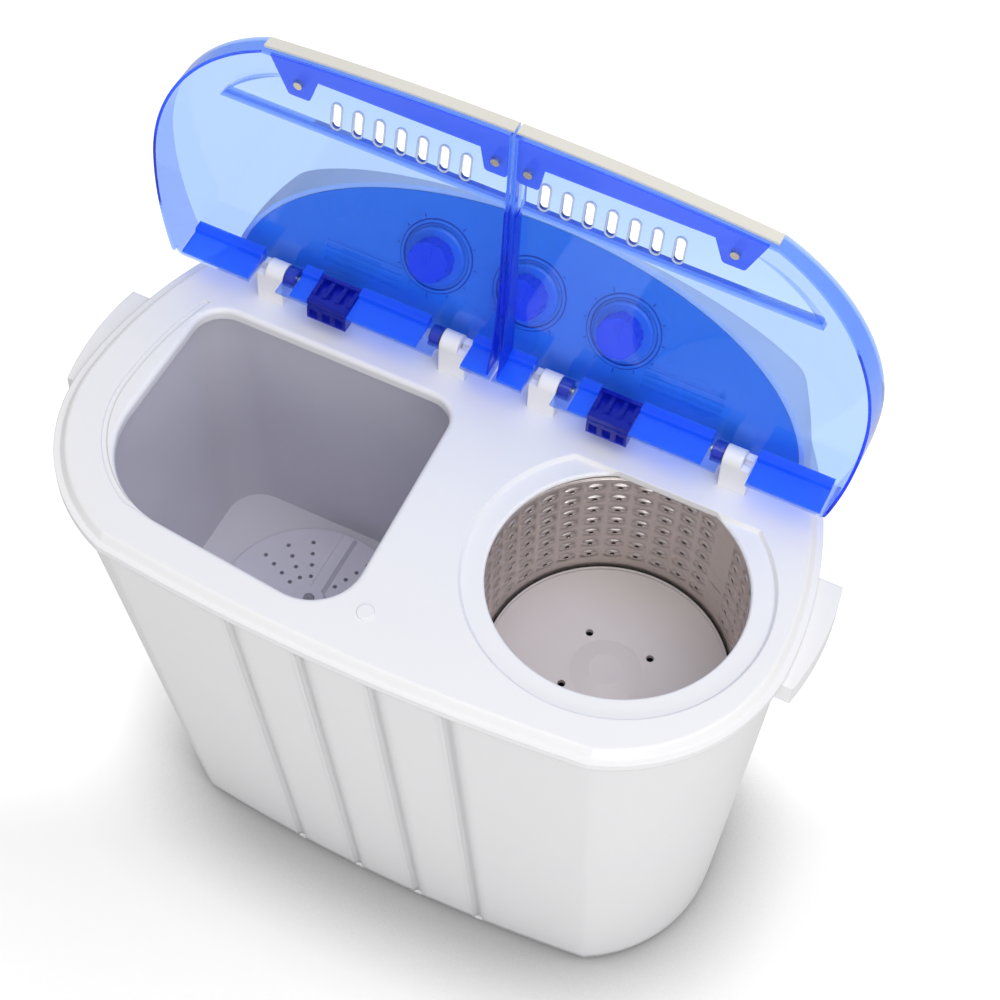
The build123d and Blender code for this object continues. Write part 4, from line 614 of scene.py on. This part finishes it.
def cell_rings(centre_angle, centre_z, half_turn, half_high):
    """Rings of points (angle, z, raise) from a hole's edge out to its cell's rectangle."""
    rings = []
    for across, high, lift in (
        (hole_radius, hole_radius, 0.78), (dimple_across * 0.62, dimple_high * 0.74, 0.72),
        (dimple_across * 0.86, dimple_high * 0.92, 0.3), (dimple_across, dimple_high, 0.0),
    ):
        ring = []
        for k in range(cell_points):
            turn = 2 * math.pi * k / cell_points
            ring.append((
                centre_angle + across * math.cos(turn) / middle_radius,
                centre_z + high * math.sin(turn), lift * dimple_depth,
            ))
        rings.append(ring)
    border = []
    for k in range(cell_points):
        turn = 2 * math.pi * k / cell_points
        reach = max(abs(math.cos(turn)), abs(math.sin(turn)))
        border.append((
            centre_angle + half_turn * math.cos(turn) / reach,
            centre_z + half_high * math.sin(turn) / reach, 0.0,
        ))
    rings.append(border)
    return rings


points, faces = [], []
side_share = math.tan(math.pi / 8)
band_shares = [-1, -side_share, 0, side_share, 1]
row_bottom = row_low - row_pitch / 2
row_top = row_low + (hole_rows - 0.5) * row_pitch
foot_bend_z, under_rim_z = 374.0, 487.0
plain_bands = [(sheet_foot_z, foot_bend_z), (foot_bend_z, row_bottom), (row_top, under_rim_z)]
for column in range(hole_columns):
    angle = seam_angle + column * column_step
    for row in range(hole_rows):
        z = row_low + row * row_pitch
        rings = cell_rings(angle, z, column_step / 2, row_pitch / 2)
        if column == 0:
            rings = rings[-1:]
            faces.append(list(range(len(points), len(points) + cell_points)))
        for number, ring in enumerate(rings):
            first = len(points)
            points.extend([wall_point(*spot) for spot in ring])
            if number:
                before = first - cell_points
                for k in range(cell_points):
                    j = (k + 1) % cell_points
                    faces.append([before + k, before + j, first + j, first + k])
    for low, high in plain_bands:
        for part in range(4):
            start, end = [angle + column_step / 2 * share for share in band_shares[part:part + 2]]
            first = len(points)
            corners = [(start, low), (end, low), (end, high), (start, high)]
            points.extend([wall_point(*corner) for corner in corners])
            faces.append([first, first + 1, first + 2, first + 3])
sheet = make_piece(
    "basket_sheet", points, faces, stainless_sheet, "spin_basket", smooth=True
)
axis = Vector((basket_x, basket_y, 0)) * MM
outward = sum((face.center - axis).dot(face.normal) * face.area for face in sheet.data.polygons)
skin = sheet.modifiers.new("Sheet thickness", "SOLIDIFY")
skin.thickness = sheet_thickness * MM
skin.offset = 1.0 if outward > 0 else -1.0
points, faces = [], []
basket_place = Matrix.Translation((basket_x, basket_y, 0))
ring_steps = 96
rolled_rim = [
    (95.0, 486.6), (95.6, 487.8), (97.0, 488.0), (98.1, 487.4), (98.1, 486.2), (97.2, 485.8),
    (96.2, 486.0),
]
turned(rolled_rim, ring_steps, points, faces, basket_place)
foot_ring = [(84.4, 370.9), (94.3, 370.9), (94.3, 371.9), (84.4, 371.9)]
turned(foot_ring, ring_steps, points, faces, basket_place)
make_piece(
    "basket_rim", points, faces, stainless_sheet, "spin_basket", smooth=True
)
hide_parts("spin_basket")
print("basket sheet faces:", len(sheet.data.polygons))

# %% [markdown]
# ## Basket floor ring
# The pale floor of the basket ends in a thin raised lip. In the gap between that lip and the sheet a
# black ring is painted shade, standing in for the dark of the gap. Both are rings turned about the
# basket's axis.

# %% Lip of the basket floor and the painted shade in its gap
points, faces = [], []
lip_section = [
    (89.8, 375.9), (89.8, 377.4), (90.3, 378.0), (91.2, 378.0), (91.6, 377.4), (91.6, 375.9),
]
turned(lip_section, ring_steps, points, faces, basket_place)
make_piece(
    "basket_floor_lip", points, faces, pale_polypropylene, "spin_basket", smooth=True
)
points, faces = [], []
# A black ring of painted shade fills the gap between the lip and the sheet
gap_shade_section = [(91.7, 375.95), (93.2, 375.95), (93.2, 376.6), (91.7, 376.6)]
turned(gap_shade_section, ring_steps, points, faces, basket_place)
make_piece("basket_floor_gap_shade", points, faces, black_rubber, "spin_basket")
print("floor ring made")

# %% [markdown]
# ## Dial markings and painted ring shade
# Round each knob two fine dark lines run along the edges of the panel's raised ring: they are painted
# shade, the shadow at the ring's edges. Outside them short strokes mark the knob's settings. The
# strokes are moulded, and lines and strokes both stand a few tenths of a millimetre proud of the
# panel, drawn as thin rings and bars in the panel's own plane.

# %% Painted ring shade lines and dial strokes
panel_across = Vector((1, 0, 0))
panel_up = Vector((0, math.sin(panel_lean), math.cos(panel_lean)))
panel_base = Matrix((panel_across, panel_up, panel_normal)).transposed().to_4x4()
panel_base.translation = (0, panel_foot_y, panel_foot_z)
panel_skin = 0.5
knob_spacing, knob_up = 75.7, 60.8
# The two dark rings are painted shade along the edges of each raised dial ring
ring_shade_radii, ring_shade_half_width, line_proud, ring_shade_steps = (28.6, 25.4), 0.35, 0.25, 72
mark_start, mark_half_width = 30.2, 0.4
long_mark, short_mark = 3.2, 1.8
dials = [
    (-knob_spacing, -240, 60, 11), (0, -45, 225, 4), (knob_spacing, -240, 60, 11),
]

points, faces = [], []
for knob_x, first_mark, last_mark, marks in dials:
    place = panel_base @ Matrix.Translation((knob_x, knob_up, panel_skin))
    # Two dark rings of painted shade along the edges of the raised dial ring
    for radius in ring_shade_radii:
        inner, outer = radius - ring_shade_half_width, radius + ring_shade_half_width
        line = [(inner, 0.0), (inner, line_proud), (outer, line_proud), (outer, 0.0)]
        turned(line, ring_shade_steps, points, faces, place)
    for mark in range(marks):
        turn = math.radians(first_mark + (last_mark - first_mark) * mark / (marks - 1))
        ray = Vector((math.cos(turn), math.sin(turn), 0))
        across = Vector((-ray.y, ray.x, 0)) * mark_half_width
        near = ray * mark_start
        far = ray * (mark_start + (long_mark if mark % 5 == 0 else short_mark))
        corners = [near - across, far - across, far + across, near + across]
        first = len(points)
        for height in (0.0, line_proud):
            points.extend([tuple(place @ (corner + Vector((0, 0, height)))) for corner in corners])
        faces.append([first + 4, first + 5, first + 6, first + 7])
        faces.append([first, first + 1, first + 2, first + 3])
        for k in range(4):
            j = (k + 1) % 4
            faces.append([first + k, first + j, first + 4 + j, first + 4 + k])
make_piece("dial_markings_and_ring_shade", points, faces, marking_and_ring_shade_plastic, "cabinet")
print("dial markings made")

# %% [markdown]
# ## Camera
# The photograph looks down on the machine from the right of its front, from about 1.7 m away. The
# place, the aim, the roll and the lens were worked out from where known points of the machine fall
# in the picture.

# %% Camera at the photograph's angle
camera_place = Vector((441.9, -917.9, 1929.1)) * MM
camera_aim = Vector((47.5, -1.1, 506.5)) * MM
camera_roll = math.radians(3.52)
camera = bpy.data.objects.new("Camera", bpy.data.cameras.new("Camera"))
bpy.context.collection.objects.link(camera)
camera.data.lens = 88.25
camera.data.sensor_width = 36
forward = (camera_aim - camera_place).normalized()
level = forward.cross(Vector((0, 0, 1))).normalized()
upright = level.cross(forward)
right = level * math.cos(camera_roll) + upright * math.sin(camera_roll)
up = upright * math.cos(camera_roll) - level * math.sin(camera_roll)
camera_turn = Matrix((right, up, -forward)).transposed().to_4x4()
camera.matrix_world = Matrix.Translation(camera_place) @ camera_turn
bpy.context.scene.camera = camera
print("camera", (camera_aim - camera_place).length, "m from its aim")

# %% [markdown]
# ## Floor and light
# The photograph is a studio picture on white, with soft light from above and the right and a faint
# shadow on the floor to the left. A large pale floor keeps that shadow. Seen directly or through a
# lid its colour is lifted towards white, less near the machine, more further out and behind it, as
# a white sweep is lit. Where the machine hides the sky from the floor, the paint darkens and the
# lift is held back, which gives the contact shadow. The world gives even light, and two big soft
# lamps give the plastic its shading and its highlights.

# %% Studio
def seen_by_camera(tree):
    """Socket that is one for a ray from the camera, also after it passed through a lid."""
    ray = add_node(tree, "ShaderNodeLightPath")
    seen = add_node(
        tree, "ShaderNodeMath", settings={"operation": "MAXIMUM"},
        links={0: ray.outputs["Is Camera Ray"], 1: ray.outputs["Is Transmission Ray"]},
    )
    return seen.outputs["Value"]


floor_mesh = bpy.data.meshes.new("Floor")
half_floor = 6.0
corners = [(-1, -1), (1, -1), (1, 1), (-1, 1)]
floor_mesh.from_pydata([(x * half_floor, y * half_floor, 0) for x, y in corners], [], [(0, 1, 2, 3)])
floor = bpy.data.objects.new("Floor", floor_mesh)
bpy.context.collection.objects.link(floor)
floor_paint, tree = start_material("White studio floor")
where = add_node(tree, "ShaderNodeTexCoord").outputs["Object"]
near_lift, far_lift = 0.27, 0.6
distance = add_node(
    tree, "ShaderNodeVectorMath", settings={"operation": "LENGTH"}, links={0: where}
)
fade = add_node(
    tree, "ShaderNodeMapRange", settings={"interpolation_type": "SMOOTHSTEP"},
    values={"From Min": 0.35, "From Max": 0.8, "To Min": near_lift, "To Max": far_lift},
    links={"Value": distance.outputs["Value"]},
)
away_from_camera = (-0.46, 0.89, 0.0)
behind = add_node(
    tree, "ShaderNodeVectorMath", settings={"operation": "DOT_PRODUCT"},
    values={1: away_from_camera}, links={0: where},
)
fade_behind = add_node(
    tree, "ShaderNodeMapRange", settings={"interpolation_type": "SMOOTHSTEP"},
    values={"From Min": -0.04, "From Max": 0.12, "To Min": near_lift, "To Max": far_lift},
    links={"Value": behind.outputs["Value"]},
)
brighter = add_node(
    tree, "ShaderNodeMath", settings={"operation": "MAXIMUM"},
    links={0: fade.outputs["Result"], 1: fade_behind.outputs["Result"]},
)
open_sky = add_node(
    tree, "ShaderNodeAmbientOcclusion", settings={"samples": 8}, values={"Distance": 0.12}
)
contact = add_node(
    tree, "ShaderNodeMapRange", settings={"interpolation_type": "SMOOTHSTEP"},
    values={"From Min": 0.35, "From Max": 1.0, "To Min": 0.35, "To Max": 1.0},
    links={"Value": open_sky.outputs["AO"]},
)
shaded = add_node(
    tree, "ShaderNodeMix", settings={"data_type": "RGBA"},
    values={"A": linear("#5A5A5C"), "B": linear("#E6E6E6")},
    links={"Factor": contact.outputs["Result"]},
)
matt = add_node(tree, "ShaderNodeBsdfDiffuse", links={"Color": shaded.outputs["Result"]})
kept_lift = add_node(
    tree, "ShaderNodeMath", settings={"operation": "MULTIPLY"},
    links={0: brighter.outputs["Value"], 1: contact.outputs["Result"]},
)
lift = add_node(
    tree, "ShaderNodeEmission", values={"Color": (1, 1, 1, 1)},
    links={"Strength": kept_lift.outputs["Value"]},
)
both = add_node(
    tree, "ShaderNodeAddShader", links={0: matt.outputs["BSDF"], 1: lift.outputs["Emission"]}
)
pick = add_node(
    tree, "ShaderNodeMixShader",
    links={"Fac": seen_by_camera(tree), 1: matt.outputs["BSDF"], 2: both.outputs["Shader"]},
)
add_node(tree, "ShaderNodeOutputMaterial", links={"Surface": pick.outputs["Shader"]})
floor_mesh.materials.append(floor_paint)

world = bpy.data.worlds.new("Studio")
bpy.context.scene.world = world
world.use_nodes = True
tree = world.node_tree
tree.nodes.clear()
room = add_node(tree, "ShaderNodeBackground", values={"Color": (1, 1, 1, 1), "Strength": 0.54})
white = add_node(tree, "ShaderNodeBackground", values={"Color": (1, 1, 1, 1), "Strength": 1.0})
pick = add_node(
    tree, "ShaderNodeMixShader",
    links={
        "Fac": seen_by_camera(tree), 1: room.outputs["Background"], 2: white.outputs["Background"],
    },
)
add_node(tree, "ShaderNodeOutputWorld", links={"Surface": pick.outputs["Shader"]})


def soft_lamp(name, place, aim, size, power):
    """A square lamp that faces a point, all in metres and watts."""
    data = bpy.data.lights.new(name, "AREA")
    data.size = size
    data.energy = power
    lamp = bpy.data.objects.new(name, data)
    bpy.context.collection.objects.link(lamp)
    lamp.location = place
    lamp.rotation_mode = "QUATERNION"
    lamp.rotation_quaternion = (Vector(aim) - Vector(place)).to_track_quat("-Z", "Y")


soft_lamp("Top light", (0.7, -0.2, 2.9), (0, 0, 0.4), 2.4, 36)
soft_lamp("Front light", (1.5, -2.5, 1.3), (0, 0, 0.3), 1.6, 24)
bpy.context.scene.view_settings.view_transform = "Standard"
print("studio ready")
